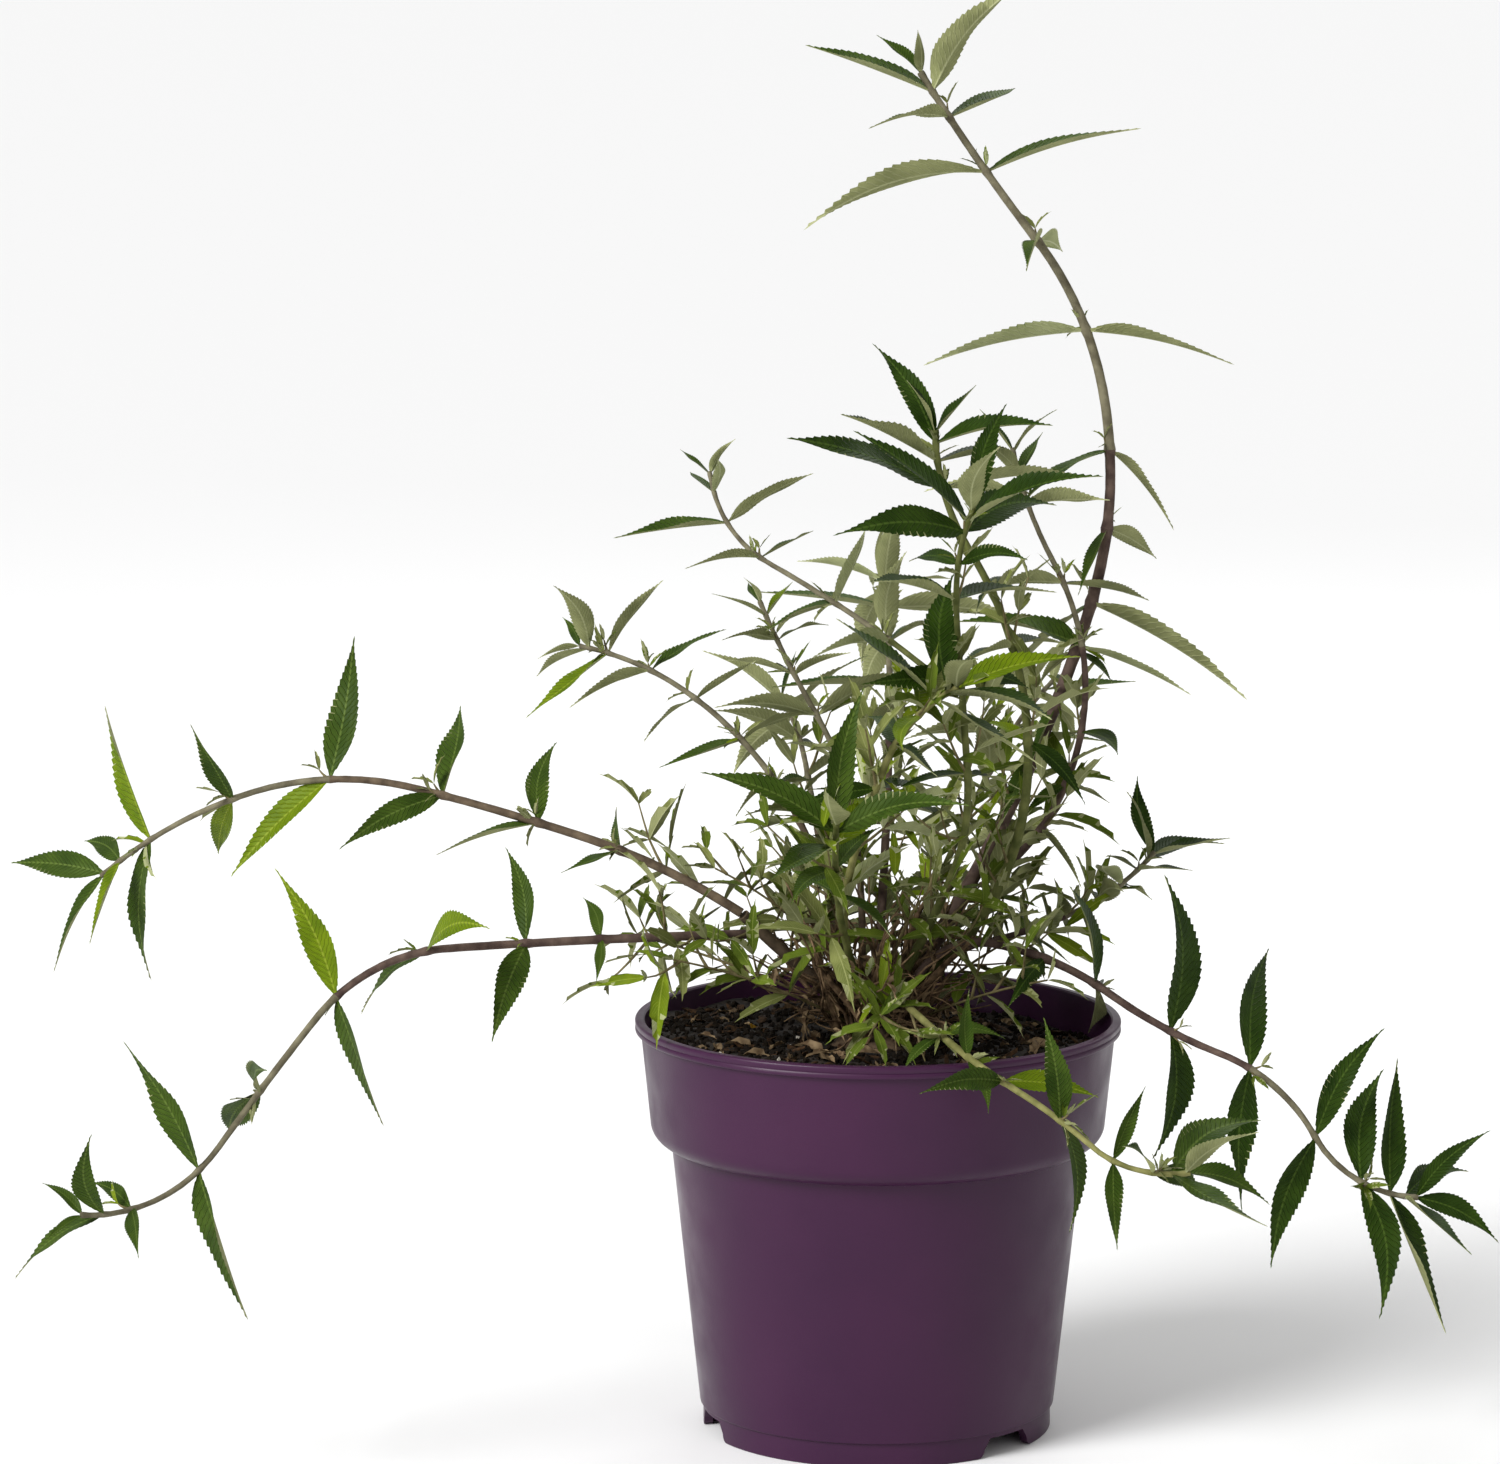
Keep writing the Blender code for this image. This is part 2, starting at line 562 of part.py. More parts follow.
def place_shoot(room, node, rng, root, tangent, turn):
    """A small shoot in the angle of a leaf, with a pair of little leaves and one at its tip."""
    direction = leaf_direction(tangent, turn, rng.uniform(38.0, 62.0))
    length = rng.uniform(*SHOOT_LENGTH)
    points = [root, root + direction * (0.55 * length), root + direction * length]
    twig = rod(points, SHOOT_RADII, TWIG_SIDES)
    wide = rod(points, [radius + CLEAR for radius in SHOOT_RADII], TWIG_SIDES)
    if not room.free(node, wide):
        return []
    room.take(node, twig)
    parts = [twig]
    size = rng.uniform(*SHOOT_LEAF)
    for half in (0.0, 180.0):
        parts += place_leaf(room, node, points[1], direction, turn + half + rng.uniform(50.0, 130.0),
                            rng.uniform(40.0, 70.0), twisted(rng), size)
    parts += place_leaf(room, node, points[2] - direction * ROOT_DEPTH, direction, rng.uniform(0.0, 360.0),
                        rng.uniform(5.0, 30.0), twisted(rng), size * 1.15)
    return parts


def grow_foliage(room, node, limb, plan, start, end, shoots):
    """Set the pairs of leaves along one stretch of a limb, each in its own turn round it."""
    parts = []
    for number, (along, size, turn) in enumerate(plan.pairs):
        along = along * MM
        if not start + MM < along <= end:
            continue
        rng = random.Random(SEED + plan.seed + number)
        shoot_rng = random.Random(SEED - plan.seed - number)
        root = limb.point(along)
        tangent = limb.tangent(along)
        left = len(plan.pairs) - 1 - number
        droop = plan.droop * (1.0 - along / limb.length)
        for half in (0.0, 180.0):
            roll = turn + half + rng.uniform(-ROLL_SHAKE, ROLL_SHAKE)
            spread = SPREAD + LIFT * math.cos(math.radians(roll)) + rng.uniform(-SPREAD_SHAKE, SPREAD_SHAKE)
            spread = (spread + droop) * (TIP_SPREADS[left] if left < len(TIP_SPREADS) else 1.0)
            length = size * MM * rng.uniform(1.0 - SIZE_SHAKE, 1.0 + SIZE_SHAKE)
            parts += place_leaf(room, node, root, tangent, roll, spread, twisted(rng), length)
            if shoot_rng.random() < shoots and left >= len(TIP_SPREADS):
                swing = shoot_rng.uniform(-25.0, 25.0)
                parts += place_shoot(room, node, shoot_rng, root, tangent, roll + swing)
    return parts


def fuse(node, parts, recipe):
    """Join the parts of a mass by one Boolean union, and keep its largest body."""
    group = bpy.data.collections.new(node + "_parts")
    bpy.context.scene.collection.children.link(group)
    base = add_object(node, parts[0], recipe)
    for number, part in enumerate(parts[1:]):
        piece = add_object("%s_%d" % (node, number), part, recipe)
        bpy.context.scene.collection.objects.unlink(piece)
        group.objects.link(piece)
    union = base.modifiers.new("union", "BOOLEAN")
    union.operation = "UNION"
    union.operand_type = "COLLECTION"
    union.collection = group
    union.solver = "EXACT"
    bpy.context.view_layer.update()
    whole = bpy.data.meshes.new_from_object(base.evaluated_get(bpy.context.evaluated_depsgraph_get()))
    base.modifiers.remove(union)
    base.data = whole
    for piece in list(group.objects):
        bpy.data.objects.remove(piece, do_unlink=True)
    bpy.data.collections.remove(group)
    keep_largest(whole)
    return base


def keep_largest(mesh):
    """Drop loose scraps from a mesh."""
    work = bmesh.new()
    work.from_mesh(mesh)
    bmesh.ops.triangulate(work, faces=work.faces)
    unseen = set(work.verts)
    bodies = []
    while unseen:
        body = set()
        edge = [unseen.pop()]
        while edge:
            corner = edge.pop()
            body.add(corner)
            for line in corner.link_edges:
                other = line.other_vert(corner)
                if other in unseen:
                    unseen.discard(other)
                    edge.append(other)
        bodies.append(body)
    bodies.sort(key=len)
    for body in bodies[:-1]:
        bmesh.ops.delete(work, geom=list(body), context="VERTS")
    work.to_mesh(mesh)
    work.free()


def set_limb(cane, limbs):
    """The middle line of a cane, from its foot on the stool or on another cane."""
    direction = heading(cane.climbs[0], cane.heads[0])
    radius = cane.thick[0] * MM / 2.0
    if cane.foot[0] in limbs:
        foot = foot_on_limb(limbs[cane.foot[0]], cane.foot[1], direction, radius)
    else:
        foot = foot_on_stool(*cane.foot, direction, radius)
    return Limb(foot, cane.length, cane.climbs, cane.heads, cane.thick)


def add_bare_cane(room, node, limb, bare, colour):
    """The bare lower stretch of a cane."""
    shape = stretch_of(limb, 0.0, bare, LIMB_SIDES)
    room.take(node, shape)
    smooth(add_object(node, shape, colour), 60)


def set_stem(room, masses, node, limb, plan, start, end, shoots):
    """Lay the stem of a mass, whose leaves come once all stems are laid."""
    stem = stretch_of(limb, start, end, STEM_SIDES)
    room.take(node, stem)
    masses.append((node, [stem], limb, plan, start, end, shoots))


def lay_canes(room, masses):
    """The bare canes, and the stems of the foliage that they carry."""
    limbs = {}
    for number, (name, cane) in enumerate(CANES.items()):
        limb = set_limb(cane, limbs)
        limbs[name] = limb
        bare = cane.bare * MM
        if not cane.pairs:
            add_bare_cane(room, name, limb, bare, cane.colour)
            continue
        add_bare_cane(room, name + "_cane", limb, bare, cane.colour)
        plan = Plan(cane.pairs, cane.droop, SEED_STEP * number)
        if cane.parted is None:
            set_stem(room, masses, name + "_leaves", limb, plan, bare + GAP, limb.length, SHOOT_CHANCE)
        else:
            parted = cane.parted * MM
            set_stem(room, masses, name + "_leaves_1", limb, plan, bare + GAP, parted, SHOOT_CHANCE)
            set_stem(room, masses, name + "_leaves_2", limb, plan, parted + GAP, limb.length, SHOOT_CHANCE)


def lay_sprays(room, masses):
    """The stems of the low sprays round the stool, with pairs a quarter turn on from one another."""
    for number, (turn, height, length, climb) in enumerate(SPRAYS):
        direction = heading(climb, turn)
        foot = foot_on_stool(turn, height, direction, SPRAY_THICK[0] * MM / 2.0)
        limb = Limb(foot, length, (climb, climb * SPRAY_DROOP), (turn, turn), SPRAY_THICK)
        pairs = []
        for pair in range(SPRAY_PAIR_COUNT):
            share = pair / (SPRAY_PAIR_COUNT - 1)
            pairs.append((length * mixed(SPRAY_REACH, share), mixed(SPRAY_LEAF, share),
                          SPRAY_TURN * number + 90.0 * pair))
        plan = Plan(pairs, 0.0, SEED_STEP * (len(CANES) + number))
        set_stem(room, masses, "low_spray_%d" % (number + 1), limb, plan, 0.0, limb.length, 0.0)


def build():
    """Build the pot, then all limbs, then the foliage in the room that is left."""
    clear_scene()
    room = Room()
    for fixed in (make_pot(), make_soil(), make_stool()):
        room.take(fixed.name, Shape([corner.co for corner in fixed.data.vertices],
                                    [tuple(face.vertices) for face in fixed.data.polygons]))
    masses = []
    lay_canes(room, masses)
    lay_sprays(room, masses)
    for node, parts, limb, plan, start, end, shoots in masses:
        parts += grow_foliage(room, node, limb, plan, start, end, shoots)
        fuse(node, parts, FOLIAGE)


build()
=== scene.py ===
"""A young butterfly bush in a purple nursery pot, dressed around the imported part."""

import json
import math
import random
from collections import namedtuple

import bmesh
import bpy
from mathutils import Matrix, Vector, noise
from mathutils.bvhtree import BVHTree

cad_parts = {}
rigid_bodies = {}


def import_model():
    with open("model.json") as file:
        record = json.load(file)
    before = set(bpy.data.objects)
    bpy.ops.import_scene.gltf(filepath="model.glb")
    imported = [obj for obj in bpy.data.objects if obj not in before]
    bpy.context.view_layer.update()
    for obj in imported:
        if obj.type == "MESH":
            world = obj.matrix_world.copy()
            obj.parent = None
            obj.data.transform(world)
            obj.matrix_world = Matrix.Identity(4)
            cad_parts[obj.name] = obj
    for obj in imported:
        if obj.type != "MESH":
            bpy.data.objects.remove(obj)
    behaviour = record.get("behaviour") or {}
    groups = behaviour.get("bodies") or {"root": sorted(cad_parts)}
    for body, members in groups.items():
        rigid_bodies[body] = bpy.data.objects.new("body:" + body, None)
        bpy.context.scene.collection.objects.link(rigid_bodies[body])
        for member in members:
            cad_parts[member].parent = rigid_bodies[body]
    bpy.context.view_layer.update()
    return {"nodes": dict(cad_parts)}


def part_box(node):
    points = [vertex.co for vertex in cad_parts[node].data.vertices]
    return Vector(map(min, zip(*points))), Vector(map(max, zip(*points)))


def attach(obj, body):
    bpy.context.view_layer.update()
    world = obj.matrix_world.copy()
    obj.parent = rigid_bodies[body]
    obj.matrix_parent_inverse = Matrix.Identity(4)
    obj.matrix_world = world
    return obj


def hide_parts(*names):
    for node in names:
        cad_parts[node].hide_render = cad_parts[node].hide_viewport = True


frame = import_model()

# Camera
# The picture was taken from 2.4 m away with a long lens, a little above the crown and looking down by
# nine degrees, so the lip of the pot shows as a narrow ellipse.

CAMERA_PLACE = Vector((-0.05, -2.4, 0.66))
CAMERA_TILT = 9.1
PHOTO_WIDTH = 1500
FOCAL_IN_PIXELS = 6262.0
SENSOR = 36.0


def put_in_scene(name, data):
    """A new object in the scene that shows this data."""
    thing = bpy.data.objects.new(name, data)
    bpy.context.scene.collection.objects.link(thing)
    return thing


camera_data = bpy.data.cameras.new("camera")
camera_data.sensor_width = SENSOR
camera_data.lens = SENSOR * FOCAL_IN_PIXELS / PHOTO_WIDTH
camera_data.clip_start = 0.05
camera = put_in_scene("camera", camera_data)
camera.location = CAMERA_PLACE
camera.rotation_euler = (math.radians(90.0 - CAMERA_TILT), 0.0, 0.0)
bpy.context.scene.camera = camera

# Studio
# A white room. One broad soft light stands high on the left in front. Soft boxes at the left, at the right
# and behind draw the sheen down the pot, and the white surround lights the rest. The floor is pale and matt.


def aimed_lamp(name, kind, place, target, power):
    """A lamp at a place, turned towards a target."""
    data = bpy.data.lights.new(name, kind)
    data.energy = power
    lamp = put_in_scene(name, data)
    lamp.location = place
    lamp.rotation_euler = (Vector(target) - Vector(place)).to_track_quat("-Z", "Y").to_euler()
    return data


broad_light = aimed_lamp("broad_light", "SUN", (-1.9, -1.6, 2.1), (0.0, 0.0, 0.2), 2.9)
broad_light.angle = math.radians(28.0)
for name, place, size, power in (("left_box", (-1.5, -1.1, 0.75), (0.35, 1.4), 9.0),
                                 ("right_box", (0.9, -1.7, 0.70), (0.30, 1.2), 1.4),
                                 ("back_box", (0.5, 1.6, 1.5), (1.4, 1.0), 9.0)):
    box = aimed_lamp(name, "AREA", place, (0.0, 0.0, 0.15), power)
    box.shape = "RECTANGLE"
    box.size = size[0]
    box.size_y = size[1]


def feed(tree, node, inputs):
    """Give a node's inputs their values, or link them to the sockets that feed them."""
    for key, value in inputs.items():
        if isinstance(value, bpy.types.NodeSocket):
            tree.links.new(value, node.inputs[key])
        else:
            node.inputs[key].default_value = value


world = bpy.data.worlds.new("white_surround")
world.use_nodes = True
feed(world.node_tree, world.node_tree.nodes["Background"], {"Color": (1.0, 1.0, 1.0, 1.0), "Strength": 0.52})
bpy.context.scene.world = world
bpy.context.scene.view_settings.view_transform = "Standard"


def finish_of(name, colour, roughness, specular=0.5):
    """A Principled material with its plain colour, roughness and specular level set."""
    made = bpy.data.materials.new(name)
    made.use_nodes = True
    feed(made.node_tree, made.node_tree.nodes["Principled BSDF"],
         {"Base Color": (*colour, 1.0), "Roughness": roughness, "Specular IOR Level": specular})
    made.diffuse_color = (*colour, 1.0)
    return made


def mesh_of(name, corners, faces, edges=()):
    """A mesh of corners and faces, or of corners and edges."""
    mesh = bpy.data.meshes.new(name)
    mesh.from_pydata([tuple(corner) for corner in corners], list(edges), faces)
    return mesh


FLOOR_HALF = 25.0
floor_corners = [(-FLOOR_HALF, -FLOOR_HALF, 0.0), (FLOOR_HALF, -FLOOR_HALF, 0.0),
                 (FLOOR_HALF, FLOOR_HALF, 0.0), (-FLOOR_HALF, FLOOR_HALF, 0.0)]
floor = put_in_scene("floor", mesh_of("floor", floor_corners, [(0, 1, 2, 3)]))
floor.data.materials.append(finish_of("pale_floor", (0.88, 0.88, 0.88), 0.95))

# Pot
# A three-litre nursery pot, injection-moulded in aubergine-coloured polypropylene. Its deep collar
# stacks on the next pot's, and three gaps in its foot ring let water out.

pot_low, pot_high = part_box("pot")
POT_HEIGHT = pot_high.z
LIP_RADIUS = pot_high.x
WALL = 0.0015
LIP_HEIGHT = 0.0050
LIP_ROUND = 0.0010
LIP_GROOVE = ((0.00015, 0.62), (0.00045, 0.55), (0.00015, 0.48))
COLLAR_TOP_RADIUS = LIP_RADIUS - 0.0023
COLLAR_FOOT_RADIUS = LIP_RADIUS - 0.0060
COLLAR_FOOT = 0.1220
COLLAR_ROUND_DROP = 0.0078
BODY_TOP_RADIUS = LIP_RADIUS - 0.0141
LEDGE_RADIUS = 0.0697
LEDGE = 0.0096
FOOT_RADIUS = 0.0684
FOOT_THICKNESS = 0.0035
FLOOR_THICKNESS = 0.0020
PAD_RADIUS = 0.0110
NOTCH_COUNT = 3
NOTCH_TURN = math.radians(-43.0)
NOTCH_TOP_WIDTH = 0.0190
NOTCH_FOOT_WIDTH = 0.0250
NOTCH_CORNER = 0.0035
DRAIN_COUNT = 9
DRAIN_RADIUS = 0.0055
DRAIN_RING = 0.0540
DRAIN_SIDES = 24
POT_SEGMENTS = 160
POT_EDGE = math.radians(38.0)


def circle(radius, height, sides):
    """The corners of a level ring round the pot's axis."""
    turns = [math.tau * side / sides for side in range(sides)]
    return [(radius * math.cos(turn), radius * math.sin(turn), height) for turn in turns]


def closed_skin(name, foot, rings, top):
    """A closed mesh over rings of corners, from a pole at its foot to one at its top."""
    corners = [foot] + [corner for ring in rings for corner in ring] + [top]
    sides = len(rings[0])
    last = len(corners) - 1
    faces = []
    for side in range(sides):
        beside = (side + 1) % sides
        faces.append((0, 1 + beside, 1 + side))
        faces.append((last, last - sides + side, last - sides + beside))
        for row in range(len(rings) - 1):
            start = 1 + row * sides
            faces.append((start + side, start + beside, start + sides + beside, start + sides + side))
    return mesh_of(name, corners, faces)


def arc(middle, radii, start, end, steps):
    """Points of an elliptic arc in a profile, between two angles in degrees."""
    points = []
    for step in range(steps + 1):
        turn = math.radians(start + (end - start) * step / steps)
        points.append((middle[0] + radii[0] * math.cos(turn), middle[1] + radii[1] * math.sin(turn)))
    return points


def collar_round(inset, steps):
    """The quarter round that carries the body out to the collar."""
    across = COLLAR_FOOT_RADIUS - BODY_TOP_RADIUS
    return arc((BODY_TOP_RADIUS - inset, COLLAR_FOOT), (across, COLLAR_ROUND_DROP), -90.0, 0.0, steps)


def pot_profile():
    """The pot's section, from the middle of its underside round to the middle of its inside."""
    floor_foot = LEDGE - FLOOR_THICKNESS * 0.75
    floor_top = floor_foot + FLOOR_THICKNESS
    foot_inner = FOOT_RADIUS - FOOT_THICKNESS
    soft = LIP_ROUND * 0.6
    profile = [(0.0, 0.0), (PAD_RADIUS - soft, 0.0), (PAD_RADIUS, soft), (PAD_RADIUS, floor_foot)]
    profile += [(foot_inner, floor_foot), (foot_inner, soft), (foot_inner + soft, 0.0)]
    profile += arc((FOOT_RADIUS - soft, soft), (soft, soft), -90.0, 0.0, 3)
    profile += [(FOOT_RADIUS, LEDGE - soft * 0.5), (LEDGE_RADIUS - soft, LEDGE)]
    profile += arc((LEDGE_RADIUS - soft, LEDGE + soft), (soft, soft), -80.0, 0.0, 3)
    profile += [(LEDGE_RADIUS + (BODY_TOP_RADIUS - LEDGE_RADIUS) * step / 4.0,
                 LEDGE + soft + (COLLAR_FOOT - COLLAR_ROUND_DROP - LEDGE - soft) * step / 4.0)
                for step in range(1, 4)]
    profile += collar_round(0.0, 10)
    profile += [(COLLAR_TOP_RADIUS, POT_HEIGHT - LIP_HEIGHT)]
    profile += arc((LIP_RADIUS - LIP_ROUND, POT_HEIGHT - LIP_HEIGHT + LIP_ROUND), (LIP_ROUND, LIP_ROUND),
                   -90.0, 0.0, 3)
    profile += [(LIP_RADIUS - inset, POT_HEIGHT - LIP_HEIGHT * share) for inset, share in LIP_GROOVE]
    profile += arc((LIP_RADIUS - LIP_ROUND, POT_HEIGHT - LIP_ROUND), (LIP_ROUND, LIP_ROUND), 0.0, 90.0, 4)
    profile += [(COLLAR_TOP_RADIUS - WALL + soft, POT_HEIGHT), (COLLAR_TOP_RADIUS - WALL, POT_HEIGHT - soft),
                (COLLAR_FOOT_RADIUS - WALL, COLLAR_FOOT)]
    profile += list(reversed(collar_round(WALL, 5)))[1:]
    profile += [(LEDGE_RADIUS - WALL, floor_top), (0.0, floor_top)]
    return profile


def prism(name, outline, start, end):
    """A closed prism whose outline, a list of points, is shifted from start to end."""
    count = len(outline)
    faces = [tuple(reversed(range(count))), tuple(range(count, 2 * count))]
    faces += [(side, (side + 1) % count, count + (side + 1) % count, count + side) for side in range(count)]
    mesh = mesh_of(name, [point + start for point in outline] + [point + end for point in outline], faces)
    work = bmesh.new()
    work.from_mesh(mesh)
    bmesh.ops.recalc_face_normals(work, faces=work.faces)
    work.to_mesh(mesh)
    work.free()
    return put_in_scene(name, mesh)


def notch_cutter(number):
    """A water gap with rounded corners, wider at the floor."""
    turn = NOTCH_TURN + math.tau * number / NOTCH_COUNT
    outward = Vector((math.cos(turn), math.sin(turn), 0.0))
    across = Vector((-math.sin(turn), math.cos(turn), 0.0))
    half = [(NOTCH_FOOT_WIDTH / 2.0 + NOTCH_CORNER, -WALL)]
    for step in range(5):
        turn = math.radians(90.0 * step / 4.0)
        half.append((NOTCH_FOOT_WIDTH / 2.0 + NOTCH_CORNER * (1.0 - math.sin(turn)),
                     NOTCH_CORNER * (1.0 - math.cos(turn))))
    half.append((NOTCH_TOP_WIDTH / 2.0, LEDGE - FLOOR_THICKNESS))
    outline = [across * reach + Vector((0.0, 0.0, height)) for reach, height in half]
    outline += [across * -reach + Vector((0.0, 0.0, height)) for reach, height in reversed(half)]
    return prism("notch_cutter", outline, outward * (FOOT_RADIUS - 2.0 * FOOT_THICKNESS),
                 outward * (FOOT_RADIUS + LEDGE))


def drain_cutter(number):
    """A round drain hole through the floor."""
    turn = math.tau * (number + 0.5) / DRAIN_COUNT
    middle = Vector((DRAIN_RING * math.cos(turn), DRAIN_RING * math.sin(turn), 0.0))
    outline = [middle + Vector(corner) for corner in circle(DRAIN_RADIUS, 0.0, DRAIN_SIDES)]
    return prism("drain_cutter", outline, Vector((0.0, 0.0, LEDGE / 2.0)), Vector((0.0, 0.0, 2.0 * LEDGE)))


def plain_mesh(thing, name):
    """The mesh of an object as its modifiers leave it."""
    bpy.context.view_layer.update()
    mesh = bpy.data.meshes.new_from_object(thing.evaluated_get(bpy.context.evaluated_depsgraph_get()))
    mesh.name = name
    return mesh


def add_piece(name, mesh, material_slot, *materials):
    """Put a finished mesh in the scene on the one body. The material_slot argument is not used."""
    for material in materials:
        mesh.materials.append(material)
    piece = put_in_scene(name, mesh)
    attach(piece, "root")
    return piece


def add_node(tree, kind, inputs, **options):
    """A new node with its options set and its inputs fed."""
    node = tree.nodes.new(kind)
    for option, value in options.items():
        setattr(node, option, value)
    feed(tree, node, inputs)
    return node


def clouds(tree, scale, detail):
    """A cloudy pattern that lies still on the piece."""
    place = add_node(tree, "ShaderNodeTexCoord", {})
    pattern = {"Vector": place.outputs["Object"], "Scale": scale, "Detail": detail}
    return add_node(tree, "ShaderNodeTexNoise", pattern).outputs["Fac"]


def tint(tree, pattern, dark, light, low, high):
    """A colour that goes from dark to light as a pattern rises from low to high."""
    ramp = add_node(tree, "ShaderNodeValToRGB", {"Fac": pattern})
    for stop, place, colour in zip(ramp.color_ramp.elements, (low, high), (dark, light)):
        stop.position = place
        stop.color = (*colour, 1.0)
    return ramp.outputs["Color"]


def spread_over(tree, pattern, low, high, start=0.0, end=1.0):
    """A pattern's stretch from low to high, spread out from start to end."""
    stretch = {"Value": pattern, "From Min": low, "From Max": high, "To Min": start, "To Max": end}
    return add_node(tree, "ShaderNodeMapRange", stretch).outputs["Result"]


def relief(tree, pattern, strength, distance, invert=False):
    """Fine relief that follows a pattern."""
    rise = {"Height": pattern, "Strength": strength, "Distance": distance}
    return add_node(tree, "ShaderNodeBump", rise, invert=invert).outputs["Normal"]


def pot_finish():
    """Aubergine plastic with a faint cloud in its colour, a fine moulded grain and rubbed patches."""
    made = finish_of("aubergine_plastic", (0.038, 0.008, 0.036), 0.38, specular=0.24)
    tree = made.node_tree
    colour = tint(tree, clouds(tree, scale=14.0, detail=3.0), (0.032, 0.0065, 0.031), (0.043, 0.0085, 0.038),
                  low=0.30, high=0.72)
    rubbed = spread_over(tree, clouds(tree, scale=60.0, detail=6.0), low=0.35, high=0.70, start=0.30,
                         end=0.44)
    grain = relief(tree, clouds(tree, scale=1400.0, detail=2.0), strength=0.10, distance=0.0004)
    feed(tree, tree.nodes["Principled BSDF"], {"Base Color": colour, "Roughness": rubbed, "Normal": grain})
    return made


profile = pot_profile()
rings = [circle(radius, height, POT_SEGMENTS) for radius, height in profile[1:-1]]
blank = put_in_scene("pot_blank", closed_skin("pot_blank", (0.0, 0.0, profile[0][1]), rings,
                                              (0.0, 0.0, profile[-1][1])))
cutters = [notch_cutter(number) for number in range(NOTCH_COUNT)]
cutters += [drain_cutter(number) for number in range(DRAIN_COUNT)]
for cutter in cutters:
    cut = blank.modifiers.new("cut", "BOOLEAN")
    cut.operation = "DIFFERENCE"
    cut.object = cutter
pot_mesh = plain_mesh(blank, "nursery_pot")
pot_mesh.shade_smooth()
pot_mesh.set_sharp_from_angle(angle=POT_EDGE)
for thing in [blank] + cutters:
    bpy.data.objects.remove(thing, do_unlink=True)
pot = add_piece("nursery_pot", pot_mesh, "pot_plastic", pot_finish())
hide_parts("pot")

# Compost
# Moist peat and composted bark, nearly black, settled about a centimetre under the lip and lower on the
# right. It was poured in loose, so it is crumbly all over, with bark chips and white specks in it.

SOIL_LEVEL = 0.1530
SOIL_SLOPE_X = -0.050
SOIL_SLOPE_Y = -0.022
SOIL_BUMP = 0.0011
SOIL_FLAT_RADIUS = 0.0240
SOIL_CRUMB = 0.0016
CLOD_SCALE = 95.0
CRUMB_SCALE = 520.0
WALL_FADE = 0.006
STOOL_FADE = 0.012
SOIL_SEGMENTS = 150
SOIL_RINGS = 52
GAP = 0.0003
BED_RINGS = 16
BED_SIDES = 72
BED_FOOT = 0.016
BED_CLEAR = 0.0035
BED_RISE = 0.0002
LUMP_KINDS = 4
LUMP_SCALE = 3.1


def inner_radius(height):
    """The pot's inner radius at a height inside its collar."""
    share = (height - COLLAR_FOOT) / (POT_HEIGHT - LIP_HEIGHT - COLLAR_FOOT)
    return COLLAR_FOOT_RADIUS + (COLLAR_TOP_RADIUS - COLLAR_FOOT_RADIUS) * share - WALL


def ground(x, y):
    """The height of the compost, flat round the stool and sloping beyond it."""
    radius = math.hypot(x, y)
    blend = min(max((radius - SOIL_FLAT_RADIUS) / SOIL_FLAT_RADIUS, 0.0), 1.0)
    slope = SOIL_SLOPE_X * x + SOIL_SLOPE_Y * y
    bumps = SOIL_BUMP * (math.sin(95.0 * x + 1.0) * math.cos(80.0 * y) + 0.6 * math.sin(170.0 * y + 2.0))
    return SOIL_LEVEL + blend * (slope + bumps)


def crumbly(x, y):
    """The ground with its crumbs, lower against the wall of the pot and under the stool."""
    rough = noise.fractal(Vector((x, y, 0.3)) * CLOD_SCALE, 0.7, 2.2, 5)
    fine = noise.noise(Vector((x, y, 1.7)) * CRUMB_SCALE)
    radius = math.hypot(x, y)
    fade = min(1.0, max(0.15, (inner_radius(SOIL_LEVEL) - radius) / WALL_FADE))
    near = min(1.0, max(0.25, (radius - STOOL_FADE) / STOOL_FADE))
    return ground(x, y) + fade * near * SOIL_CRUMB * (0.8 * rough + 0.45 * fine)


def compost_finish():
    """Wet peat, near black, with browner crumbs."""
    made = finish_of("moist_compost", (0.006, 0.004, 0.002), 0.95)
    tree = made.node_tree
    place = add_node(tree, "ShaderNodeTexCoord", {})
    crumbs = add_node(tree, "ShaderNodeTexVoronoi", {"Vector": place.outputs["Object"], "Scale": 420.0})
    colour = tint(tree, crumbs.outputs["Color"], (0.002, 0.0012, 0.0008), (0.016, 0.009, 0.004), low=0.0,
                  high=0.85)
    rough = relief(tree, clouds(tree, scale=300.0, detail=8.0), strength=0.8, distance=0.0012)
    feed(tree, tree.nodes["Principled BSDF"], {"Base Color": colour, "Normal": rough})
    return made


def compost_mesh():
    """The whole fill, from the pot's floor up to its crumbly top."""
    floor_top = LEDGE + FLOOR_THICKNESS * 0.25 + GAP
    outer = [(LEDGE_RADIUS - WALL - GAP, floor_top)] + collar_round(WALL + GAP, 4)
    rings = [circle(radius, height, SOIL_SEGMENTS) for radius, height in outer]
    edge = inner_radius(SOIL_LEVEL - 0.002) - GAP
    for ring in range(SOIL_RINGS):
        flat = circle(edge * (1.0 - ring / SOIL_RINGS), 0.0, SOIL_SEGMENTS)
        rings.append([(x, y, crumbly(x, y)) for x, y, level in flat])
    mesh = closed_skin("compost", (0.0, 0.0, floor_top), rings, (0.0, 0.0, crumbly(0.0, 0.0)))
    mesh.shade_smooth()
    return mesh


compost = add_piece("compost", compost_mesh(), "compost", compost_finish())
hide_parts("soil")


